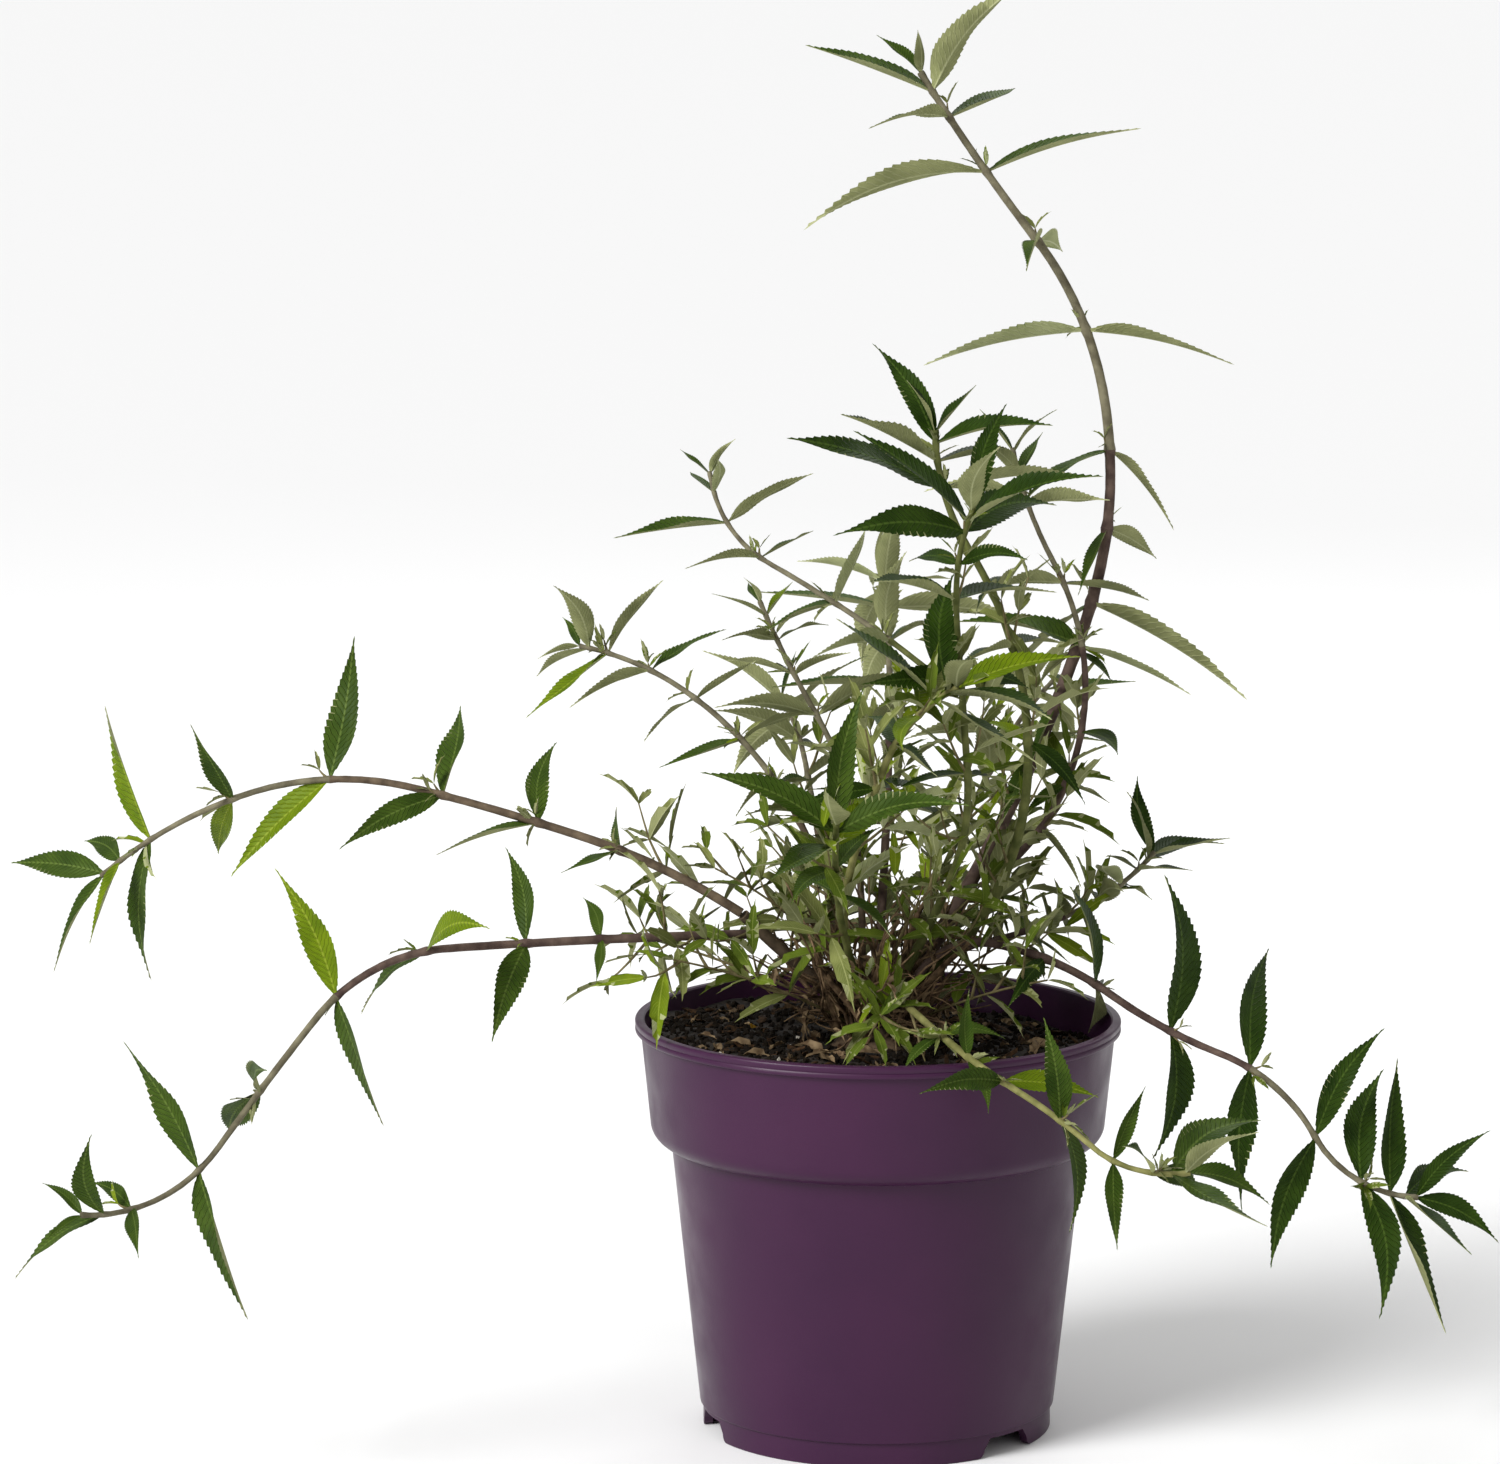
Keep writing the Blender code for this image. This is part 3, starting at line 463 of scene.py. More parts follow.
def lump(name, stretch, rough, seed, flat=1.0):
    """One rough crumb or chip, a ball of 20 faces pushed out of round."""
    mesh = bpy.data.meshes.new(name)
    work = bmesh.new()
    bmesh.ops.create_icosphere(work, subdivisions=1, radius=0.5)
    for corner in work.verts:
        push = 1.0 + rough * noise.noise(corner.co * LUMP_SCALE + Vector((seed, seed * 0.7, 0.0)))
        corner.co = Vector((corner.co.x * stretch, corner.co.y, corner.co.z * flat)) * push
    work.to_mesh(mesh)
    work.free()
    return mesh


def start_tree(name, **kinds):
    """A geometry node tree with an input of each kind, and the sockets that give them."""
    tree = bpy.data.node_groups.new(name, "GeometryNodeTree")
    for label, kind in kinds.items():
        tree.interface.new_socket(label.replace("_", " "), in_out="INPUT", socket_type="NodeSocket" + kind)
    tree.interface.new_socket("Grown", in_out="OUTPUT", socket_type="NodeSocketGeometry")
    return tree, tree.nodes.new("NodeGroupInput").outputs


def end_tree(tree, shape, *finishes):
    """Make a tree's instances real and give them each (material, faces it is for)."""
    shape = add_node(tree, "GeometryNodeRealizeInstances", {"Geometry": shape})
    for material, faces in finishes:
        shape = add_node(tree, "GeometryNodeSetMaterial",
                         {"Geometry": shape.outputs["Geometry"], "Material": material, "Selection": faces})
    feed(tree, tree.nodes.new("NodeGroupOutput"), {"Grown": shape.outputs["Geometry"]})
    return tree


def instances(tree, points, group, **inputs):
    """The shapes of a group set on points, one of them on each."""
    kinds = add_node(tree, "GeometryNodeCollectionInfo",
                     {"Collection": group, "Separate Children": True, "Reset Children": True})
    placed = {"Points": points, "Instance": kinds.outputs[0], "Pick Instance": True}
    placed.update((label.replace("_", " "), value) for label, value in inputs.items())
    return add_node(tree, "GeometryNodeInstanceOnPoints", placed).outputs["Instances"]


def arithmetic(tree, operation, *terms):
    """The result of one step of arithmetic on patterns and plain numbers."""
    return add_node(tree, "ShaderNodeMath", dict(enumerate(terms)), operation=operation).outputs[0]


def strew_tree():
    """Geometry nodes that strew loose bits over a bed, each turned and sized at random."""
    tree, given = start_tree("strew", Bed="Geometry", Bits="Collection", Per_Square_Metre="Float",
                             Smallest="Float", Largest="Float", Tilt="Float", Seed="Int", Finish="Material")
    spread = add_node(tree, "GeometryNodeDistributePointsOnFaces",
                      {"Mesh": given["Bed"], "Density": given["Per Square Metre"], "Seed": given["Seed"]})
    size = add_node(tree, "FunctionNodeRandomValue",
                    {2: given["Smallest"], 3: given["Largest"], "Seed": given["Seed"]}, data_type="FLOAT")
    back = arithmetic(tree, "MULTIPLY", given["Tilt"], -1.0)
    low_turn = add_node(tree, "ShaderNodeCombineXYZ", {"X": back, "Y": back, "Z": -math.pi})
    high_turn = add_node(tree, "ShaderNodeCombineXYZ", {"X": given["Tilt"], "Y": given["Tilt"], "Z": math.pi})
    turn = add_node(tree, "FunctionNodeRandomValue",
                    {0: low_turn.outputs[0], 1: high_turn.outputs[0], "Seed": given["Seed"]},
                    data_type="FLOAT_VECTOR")
    strewn = instances(tree, spread.outputs["Points"], given["Bits"], Rotation=turn.outputs[0],
                       Scale=size.outputs[1])
    return end_tree(tree, strewn, (given["Finish"], True))


def grown_mesh(name, seedbed, tree, **values):
    """Run a node tree on a mesh and keep the result as a plain mesh."""
    bed = put_in_scene(name + "_bed", seedbed)
    modifier = bed.modifiers.new("grow", "NODES")
    modifier.node_group = tree
    for item in tree.interface.items_tree:
        key = item.name.replace(" ", "_")
        if item.in_out == "INPUT" and key in values:
            modifier[item.identifier] = values[key]
    mesh = plain_mesh(bed, name)
    bpy.data.objects.remove(bed, do_unlink=True)
    return mesh


def kinds_of(name, meshes):
    """A collection that holds one object for each kind of a repeated shape."""
    group = bpy.data.collections.new(name)
    bpy.context.scene.collection.children.link(group)
    for number, mesh in enumerate(meshes):
        group.objects.link(bpy.data.objects.new("%s_%02d" % (name, number), mesh))
    return group


def clear_kinds(group):
    """Remove a collection of kinds once its shapes are grown."""
    for thing in list(group.objects):
        bpy.data.objects.remove(thing, do_unlink=True)
    bpy.data.collections.remove(group)


def top_bed(inner, outer):
    """The open top of the compost between two radii, on which loose bits lie."""
    corners = []
    for ring in range(BED_RINGS + 1):
        flat = circle(inner + (outer - inner) * ring / BED_RINGS, 0.0, BED_SIDES)
        corners += [(x, y, crumbly(x, y) + BED_RISE) for x, y, level in flat]
    faces = []
    for ring in range(BED_RINGS):
        near = ring * BED_SIDES
        far = near + BED_SIDES
        for side in range(BED_SIDES):
            beside = (side + 1) % BED_SIDES
            faces.append((near + side, far + side, far + beside, near + beside))
    return mesh_of("top_bed", corners, faces)


def mottled_finish(name, dark, light, scale, roughness):
    """A rough natural finish whose colour wanders between two tones."""
    made = finish_of(name, light, roughness, specular=0.15)
    tree = made.node_tree
    patches = clouds(tree, scale, detail=6.0)
    feed(tree, tree.nodes["Principled BSDF"],
         {"Base Color": tint(tree, patches, dark, light, low=0.35, high=0.68),
          "Normal": relief(tree, patches, strength=0.5, distance=0.0004)})
    return made


strew = strew_tree()
crumb_kinds = kinds_of("crumb_kind", [lump("crumb", stretch=1.0 + 0.25 * kind, rough=0.9, seed=kind * 2.3)
                                      for kind in range(LUMP_KINDS)])
chip_kinds = kinds_of("chip_kind", [lump("chip", stretch=2.0 + 0.5 * kind, rough=0.7, seed=kind * 3.7,
                                         flat=0.35) for kind in range(LUMP_KINDS)])
strewn = (("peat_crumbs", crumb_kinds, 95000.0, 0.0008, 0.0032, 3.0, 3, (0.003, 0.002, 0.001),
           (0.013, 0.008, 0.004)),
          ("bark_chips", chip_kinds, 14000.0, 0.0016, 0.0048, 0.6, 8, (0.010, 0.005, 0.002),
           (0.060, 0.030, 0.012)),
          ("pale_specks", crumb_kinds, 1300.0, 0.0010, 0.0024, 3.0, 12, (0.42, 0.38, 0.31),
           (0.74, 0.71, 0.64)))
for name, kinds, density, smallest, largest, tilt, seed, dark, light in strewn:
    finish = mottled_finish(name + "_finish", dark, light, scale=600.0, roughness=0.9)
    mesh = grown_mesh(name, top_bed(BED_FOOT, inner_radius(SOIL_LEVEL) - BED_CLEAR), strew, Bits=kinds,
                      Per_Square_Metre=density, Smallest=smallest, Largest=largest, Tilt=tilt, Seed=seed,
                      Finish=finish)
    add_piece(name, mesh, "compost")
clear_kinds(crumb_kinds)
clear_kinds(chip_kinds)

# Stool
# The short woody foot of the bush, grey-brown and ridged, flared where its roots go into the compost.
# All the canes spring from it.

STOOL_LEVEL = SOIL_LEVEL + GAP
STOOL_HEIGHTS = (0.000, 0.003, 0.007, 0.012, 0.018, 0.024, 0.029, 0.032)
STOOL_RADII = (0.0195, 0.0160, 0.0135, 0.0125, 0.0120, 0.0105, 0.0075, 0.0030)
STOOL_LEAN = Vector((-0.05, 0.02, 0.0))
FLARE_COUNT = 5
FLARE_DEPTH = 0.0022
FLARE_HEIGHT = 0.0075
BARK_RIDGE = 0.0009
STOOL_SIDES = 72
STOOL_ROWS = 40


def stool_radius(height):
    """The stool's radius at a height above the compost, without its flare."""
    for low, high, inner, outer in zip(STOOL_HEIGHTS, STOOL_HEIGHTS[1:], STOOL_RADII, STOOL_RADII[1:]):
        if height <= high:
            return inner + (outer - inner) * (height - low) / (high - low)
    return STOOL_RADII[-1]


def stool_mesh():
    """The stool with its bark in ridges that run up it."""
    corners = []
    for row in range(STOOL_ROWS + 1):
        height = STOOL_HEIGHTS[-1] * row / STOOL_ROWS
        depth = FLARE_DEPTH * max(0.0, 1.0 - height / FLARE_HEIGHT)
        middle = Vector((0.0, 0.0, STOOL_LEVEL + height)) + STOOL_LEAN * height
        for x, y, level in circle(1.0, 0.0, STOOL_SIDES):
            ridge = noise.fractal(Vector((3.5 * x, 3.5 * y, height * 60.0)), 0.8, 2.0, 4)
            flare = depth * math.cos(FLARE_COUNT * math.atan2(y, x))
            reach = stool_radius(height) + flare + BARK_RIDGE * ridge
            corners.append(middle + Vector((reach * x, reach * y, 0.0)))
    top = STOOL_ROWS * STOOL_SIDES
    faces = [tuple(reversed(range(STOOL_SIDES))), tuple(range(top, top + STOOL_SIDES))]
    for start in range(0, top, STOOL_SIDES):
        for side in range(STOOL_SIDES):
            beside = (side + 1) % STOOL_SIDES
            faces.append((start + side, start + beside, start + STOOL_SIDES + beside,
                          start + STOOL_SIDES + side))
    mesh = mesh_of("stool", corners, faces)
    mesh.shade_smooth()
    return mesh


stool = add_piece("woody_stool", stool_mesh(), "bark",
                  mottled_finish("old_bark", (0.018, 0.011, 0.007), (0.105, 0.070, 0.042), scale=260.0,
                                 roughness=0.9))
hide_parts("stool")

# Canes
# Last season's long shoots, four-sided and felted when young, brown and smooth-barked lower down. They
# spring from the stool, or from one another, and arch out over the lip under their own weight.

MM = 0.001
STEP = 0.003
CANE_SIDES = 10
NODE_SWELL = 0.22
NODE_REACH = 1.3 * MM

# As in the part's source: foot, length, climbs, heads, bare length, thickness at foot and tip, pairs of
# leaves as (distance along, leaf length, turn round the cane), and the droop of its lowest leaves. Then
# its bark, the share of its length at which the bark gives way to pale felt, how far its leaves turn
# their upper sides to the front, and their green.
Cane = namedtuple("Cane", "foot length climbs heads bare thick pairs droop bark change facing green")
CANES = {
    "left_limb": Cane((-176, 15), 54, (46, 42, 44), (-170, -156), 54, (5.8, 4.8), (), 0, "woody_bark",
                      1.0, 0.0, "mid"),
    "left_arch": Cane(("left_limb", None), 273, (32, 17, 13, -19, -41), (171, 174), 40, (3.8, 2.0),
                      ((53, 32, 75), (87, 46, 40), (126, 46, 45), (171, 60, 15), (211, 44, 135),
                      (248, 60, 15), (263, 38, 60), (271, 46, 30)), -15, "woody_bark", 0.55, 1.3, "mid"),
    "left_sweep": Cane(("left_limb", 47), 304, (2, 1, 0, -47, -49, 8),
                       (-162, -161, -160, -152, -150, -162), 44, (3.8, 2.0), ((60, 26, 60), (90, 48, 45),
                       (130, 46, 120), (170, 54, 15), (216, 46, 120), (254, 60, 15), (284, 32, 75),
                       (295, 42, 135), (303, 20, 45)), 0, "purple_bark", 0.62, 1.3, "mid"),
    "tall": Cane((36, 18), 400, (54, 60, 70, 97, 129, 124), (20, 26, 24, -36, -15, -22), 92, (6.0, 2.6),
                 ((104, 32, 45), (127, 28, 30), (150, 24, 120), (170, 70, 150), (200, 34, 60),
                 (231, 46, 60), (279, 62, 15), (319, 44, 90), (353, 68, 15), (379, 50, 75), (391, 52, 0),
                 (399, 27, 130)), 85, "purple_bark", 0.6, -0.3, "mid"),
    "centre": Cane((-40, 24), 210, (58, 62, 77, 75, 62), (-34, -46, -110, -108, -45), 84, (3.8, 2.0),
                   ((98, 30, 130), (136, 44, 145), (170, 54, 135), (185, 36, 30), (199, 58, 105),
                   (204, 56, 45), (208, 50, 135)), 40, "olive_bark", 1.0, 0.9, "dark"),
    "upper_left": Cane(("centre", 130), 145, (34, 26, 24, 63), (146, 145, 152, 110), 20, (2.4, 1.7),
                       ((36, 44, 90), (64, 44, 165), (101, 34, 70), (122, 43, 45), (136, 24, 165),
                       (144, 17, 45)), 0, "olive_bark", 0.3, -0.3, "mid"),
    "green": Cane((-14, 21), 242, (32, 61, 86, 104, 122, 90), (-4, -2, -3, 2, -4, -12), 96, (4.6, 2.4),
                  ((114, 32, 150), (152, 40, 55), (174, 42, 75), (219, 66, 40), (230, 56, 60),
                  (237, 50, 150), (241, 25, 45)), 50, "olive_bark", 1.0, 0.5, "dark"),
    "right_side": Cane(("tall", 52), 190, (30, 65, 93, 119, 106), (12, 12, 0, -12, -46), 22, (3.2, 1.8),
                       ((31, 40, 120), (51, 26, 30), (73, 34, 110), (107, 52, 165), (133, 44, 45),
                       (167, 44, 165), (179, 32, 90), (188, 24, 15)), 50, "purple_bark", 0.55, -0.3,
                       "mid"),
    "yellow": Cane((-128, 24), 151, (66, 62, 64, 28), (-134, -68, -45, -26), 78, (3.4, 2.2),
                   ((93, 34, 75), (114, 41, 150), (130, 42, 115), (141, 52, 0), (146, 56, 145),
                   (150, 50, 75)), 45, "yellow_bark", 1.0, 0.4, "dark"),
    "front": Cane((-106, 14), 112, (64, 47, 45), (-126, -98, -87), 52, (3.2, 2.2), ((66, 30, 45),
                  (82, 38, 150), (97, 50, 140), (106, 54, 75), (111, 52, 165)), 50, "olive_bark", 1.0,
                  0.9, "mid"),
    "left_mid": Cane((164, 23), 184, (74, 62, 47, 30, 8), (111, 136, 152, 158, 162), 52, (3.2, 1.8),
                     ((66, 34, 160), (83, 34, 90), (106, 34, 55), (131, 38, 165), (153, 36, 45),
                     (172, 40, 45), (180, 36, 135), (184, 18, 45)), 30, "woody_bark", 0.45, -0.2, "mid"),
    "left_back": Cane((116, 24), 160, (63, 70, 54, 54), (82, 108, 146, 128), 50, (3.0, 1.8),
                      ((63, 34, 130), (87, 32, 165), (107, 42, 60), (126, 35, 0), (142, 34, 90),
                      (153, 26, 90), (159, 15, 135)), 10, "woody_bark", 0.45, -0.4, "mid"),
    "right_arch": Cane((-36, 15), 244, (84, -10, -35, -20, -60, 0), (-12, -9, -7, -9, -12, -5), 56,
                       (3.8, 2.0), ((69, 32, 110), (91, 54, 45), (125, 60, 15), (159, 64, 135),
                       (196, 52, 150), (221, 54, 140), (233, 56, 165), (239, 50, 100), (243, 40, 5)), 40,
                       "purple_bark", 0.7, 1.2, "dark"),
    "front_right": Cane((-74, 20), 200, (12, -6, -14, -16, -27, 8), (-78, -73, -60, -48, -44, 0), 54,
                        (3.2, 1.9), ((68, 26, 100), (88, 24, 0), (110, 46, 80), (142, 40, 15),
                        (170, 34, 160), (186, 38, 60), (193, 54, 105), (198, 40, 45)), 0, "yellow_bark",
                        1.0, 0.3, "mid"),
    "right_low": Cane((8, 13), 122, (64, 8, 20, 44), (30, 21, 20, 26), 46, (3.0, 1.8), ((58, 30, 105),
                      (76, 34, 50), (91, 40, 75), (103, 36, 40), (112, 30, 90), (118, 42, 30),
                      (121, 34, 150)), 20, "purple_bark", 0.6, 0.7, "dark"),
    "back_left": Cane((138, 14), 178, (58, 46, 24, 12), (112, 100, 96, 104), 48, (3.2, 1.8),
                      ((60, 34, 30), (84, 40, 120), (110, 44, 30), (136, 42, 120), (158, 46, 30),
                      (170, 38, 120), (177, 24, 30)), 20, "woody_bark", 0.5, 0.0, "dark"),
    "back": Cane((86, 20), 236, (60, 48, 28, 10), (82, 86, 90, 92), 70, (3.8, 2.0), ((84, 36, 100),
                 (112, 44, 10), (142, 50, 100), (172, 50, 10), (200, 54, 100), (218, 50, 10),
                 (228, 42, 100), (235, 26, 10)), 20, "purple_bark", 0.5, 0.0, "mid"),
    "back_right": Cane((60, 13), 186, (54, 42, 30, 18), (58, 62, 66, 60), 50, (3.2, 1.8), ((62, 34, 10),
                       (86, 40, 100), (112, 46, 10), (140, 44, 100), (164, 46, 10), (178, 40, 100),
                       (185, 24, 10)), 20, "olive_bark", 0.6, 0.0, "mid"),
}


def mixed(values, share):
    """Read a list of evenly spread values at a share of its length."""
    place = min(max(share, 0.0), 1.0) * (len(values) - 1)
    low = min(int(place), len(values) - 2) if len(values) > 1 else 0
    high = min(low + 1, len(values) - 1)
    return values[low] + (values[high] - values[low]) * (place - low)


def heading(climb, head):
    """The direction of a climb and a heading in degrees."""
    flat = math.cos(math.radians(climb))
    return Vector((flat * math.cos(math.radians(head)), flat * math.sin(math.radians(head)),
                   math.sin(math.radians(climb))))


class Limb:
    """The middle line of a cane or a twig, worked out from its foot, climbs and headings."""

    def __init__(self, foot, length, climbs, heads, thick):
        self.length = length * MM
        self.thick = (thick[0] * MM / 2.0, thick[1] * MM / 2.0)
        count = max(2, round(self.length / (2.0 * STEP)))
        self.stretch = self.length / count
        self.points = [foot]
        for number in range(count):
            share = (number + 0.5) / count
            direction = heading(mixed(climbs, share), mixed(heads, share))
            self.points.append(self.points[-1] + direction * self.stretch)

    def point(self, along):
        place = min(max(along / self.stretch, 0.0), len(self.points) - 1.0)
        low = min(int(place), len(self.points) - 2)
        return self.points[low].lerp(self.points[low + 1], place - low)

    def tangent(self, along):
        low = self.point(max(along - self.stretch, 0.0))
        high = self.point(min(along + self.stretch, self.length))
        return (high - low).normalized()

    def radius(self, along):
        return self.thick[0] + (self.thick[1] - self.thick[0]) * along / self.length


def foot_on_stool(turn, height, direction, radius):
    """The foot of a limb that springs from the stool, clear of it by the gap."""
    height = height * MM
    turn = math.radians(turn)
    slope = (stool_radius(height + MM) - stool_radius(height - MM)) / (2.0 * MM)
    normal = Vector((math.cos(turn), math.sin(turn), -slope)).normalized()
    middle = Vector((0.0, 0.0, STOOL_LEVEL + height)) + STOOL_LEAN * height
    surface = middle + Vector((math.cos(turn), math.sin(turn), 0.0)) * stool_radius(height)
    tilt = math.sin(normal.angle(direction))
    return surface + normal * (GAP + radius * tilt)


def foot_on_limb(parent, along, direction, radius):
    """The foot of a limb on its parent's flank, or past its tip where no distance is given."""
    if along is None:
        tangent = parent.tangent(parent.length)
        return parent.point(parent.length) + tangent * (GAP + radius * math.sin(tangent.angle(direction)))
    along = along * MM
    tangent = parent.tangent(along)
    normal = (direction - tangent * direction.dot(tangent)).normalized()
    tilt = math.sin(normal.angle(direction))
    return parent.point(along) + normal * (parent.radius(along) + GAP + radius * tilt)


def stem_tree():
    """Geometry nodes that give a line its thickness and its bark, and close its ends."""
    tree, given = start_tree("stem", Lines="Geometry", Sides="Int", Relief="Float", Relief_Scale="Float",
                             Finish="Material")
    curve = add_node(tree, "GeometryNodeMeshToCurve", {"Mesh": given["Lines"]})
    girth = add_node(tree, "GeometryNodeInputNamedAttribute", {"Name": "girth"}, data_type="FLOAT")
    ring = add_node(tree, "GeometryNodeCurvePrimitiveCircle", {"Radius": 1.0, "Resolution": given["Sides"]})
    tube = add_node(tree, "GeometryNodeCurveToMesh",
                    {"Curve": curve.outputs["Curve"], "Profile Curve": ring.outputs["Curve"],
                     "Scale": girth.outputs["Attribute"], "Fill Caps": True})
    bark = add_node(tree, "ShaderNodeTexNoise", {"Scale": given["Relief Scale"], "Detail": 3.0})
    level = arithmetic(tree, "SUBTRACT", bark.outputs[0], 0.5)
    outward = add_node(tree, "GeometryNodeInputNormal", {})
    push = add_node(tree, "ShaderNodeVectorMath",
                    {"Vector": outward.outputs["Normal"],
                     "Scale": arithmetic(tree, "MULTIPLY", level, given["Relief"])}, operation="SCALE")
    rough = add_node(tree, "GeometryNodeSetPosition",
                     {"Geometry": tube.outputs["Mesh"], "Offset": push.outputs["Vector"]})
    soft = add_node(tree, "GeometryNodeSetShadeSmooth", {"Geometry": rough.outputs["Geometry"]})
    return end_tree(tree, soft.outputs["Geometry"], (given["Finish"], True))


def stems_mesh(name, lines, sides, relief_depth, relief_scale, finish):
    """Round stems along open lines, each a list of (point, radius)."""
    corners = []
    edges = []
    girths = []
    for line in lines:
        start = len(corners)
        corners += [point for point, radius in line]
        girths += [radius for point, radius in line]
        edges += [(corner, corner + 1) for corner in range(start, len(corners) - 1)]
    mesh = mesh_of(name + "_lines", corners, [], edges)
    mesh.attributes.new("girth", "FLOAT", "POINT").data.foreach_set("value", girths)
    return grown_mesh(name, mesh, stem, Sides=sides, Relief=relief_depth, Relief_Scale=relief_scale,
                      Finish=finish)


def internodes(limb, stations, start, end):
    """Cut a stretch of a limb at its nodes, and swell it a little at each."""
    cuts = [start] + [station for station in stations if start < station < end] + [end]
    lines = []
    for low, high in zip(cuts, cuts[1:]):
        count = max(2, round((high - low) / STEP))
        line = []
        for number in range(count + 1):
            along = low + (high - low) * number / count
            nearest = min((abs(along - station) for station in stations), default=1.0)
            swell = 1.0 + NODE_SWELL * max(0.0, 1.0 - nearest / (NODE_REACH + limb.radius(along)))
            line.append((limb.point(along), limb.radius(along) * swell))
        lines.append(((low + high) / 2.0, line))
    return lines


CANE_FINISHES = {
    "woody_bark": ((0.060, 0.042, 0.027), (0.150, 0.110, 0.070), "brown_cane"),
    "purple_bark": ((0.055, 0.034, 0.028), (0.135, 0.092, 0.072), "brown_cane"),
    "olive_bark": ((0.062, 0.074, 0.018), (0.130, 0.140, 0.042), "green_cane"),
    "yellow_bark": ((0.120, 0.120, 0.035), (0.230, 0.220, 0.080), "green_cane"),
    "pale_felt_bark": ((0.090, 0.078, 0.048), (0.190, 0.172, 0.108), "brown_cane"),
}
limbs = {}
cane_lines = {name: [] for name in CANE_FINISHES}
cane_nodes = {name: [] for name in CANE_FINISHES}
for name, cane in CANES.items():
    direction = heading(cane.climbs[0], cane.heads[0])
    if cane.foot[0] in limbs:
        start = foot_on_limb(limbs[cane.foot[0]], cane.foot[1], direction, cane.thick[0] * MM / 2.0)
    else:
        start = foot_on_stool(*cane.foot, direction, cane.thick[0] * MM / 2.0)
    limb = Limb(start, cane.length, cane.climbs, cane.heads, cane.thick)
    limbs[name] = limb
    stations = [along * MM for along, size, turn in cane.pairs]
    for middle, line in internodes(limb, stations, 0.0, limb.length):
        felted = middle > cane.change * limb.length
        cane_lines["pale_felt_bark" if felted else cane.bark].append(line)
    cane_nodes[cane.bark].append(name if name in frame["nodes"] else name + "_cane")

stem = stem_tree()
for name, lines in cane_lines.items():
    dark, light, slot = CANE_FINISHES[name]
    bark = mottled_finish(name, dark, light, scale=180.0, roughness=0.72)
    mesh = stems_mesh(name + "_canes", lines, CANE_SIDES, relief_depth=0.00035, relief_scale=700.0,
                      finish=bark)
    piece = add_piece(name + "_canes", mesh, slot)
    if cane_nodes[name]:
        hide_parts(*cane_nodes[name])

# Leaves
# Opposite pairs, each turned round the cane from the last. A leaf is a lance-shaped blade with a toothed
# edge, folded a little along its midrib, dark and quilted above and covered in pale felt below.

SEED = 23
SEED_STEP = 100
SPREAD = 74.0
LIFT = 26.0
SPREAD_SHAKE = 8.0
TIP_SPREADS = (0.50, 0.72)
ROLL_SHAKE = 6.0
TWIST_SHAKE = 36.0
SIZE_SHAKE = 0.10
WIDTH_SHAKE = (0.85, 1.12)
FRESH_SHARE = 0.12
FACE_TIPWARD = 0.8
FACE_UPWARD = 0.7
SOLID_HALF_WIDTH = 0.15
SOLID_WIDEST = 0.45
SOLID_SAG = 0.16
TRIES = (0, 16, -16, 32, -32, 50, -50)
LEAF_WIDTH = 0.235
LEAF_WIDEST = 0.36
LEAF_TAPER = 2.75
LEAF_THICKNESS = 0.010
LEAF_EDGE = math.radians(70.0)
SAG_POWER = 2.2
SAG_PULL = 0.08
SICKLES = (0.02, 0.10)
SAGS = (0.04, 0.30)
FOLDS = (0.15, 0.60)
TWISTS = (-0.6, 0.6)
RIPPLES = (-0.22, 0.22)
RIB_HALF = 0.006
TOOTH_DEPTH = 0.095
TOOTH_LEAN = 0.70
VEIN_SLANT = 1.1
SIDE_VEIN_STRENGTH = 0.35
BLADE_KINDS = 12
BLADE_ROWS = 42


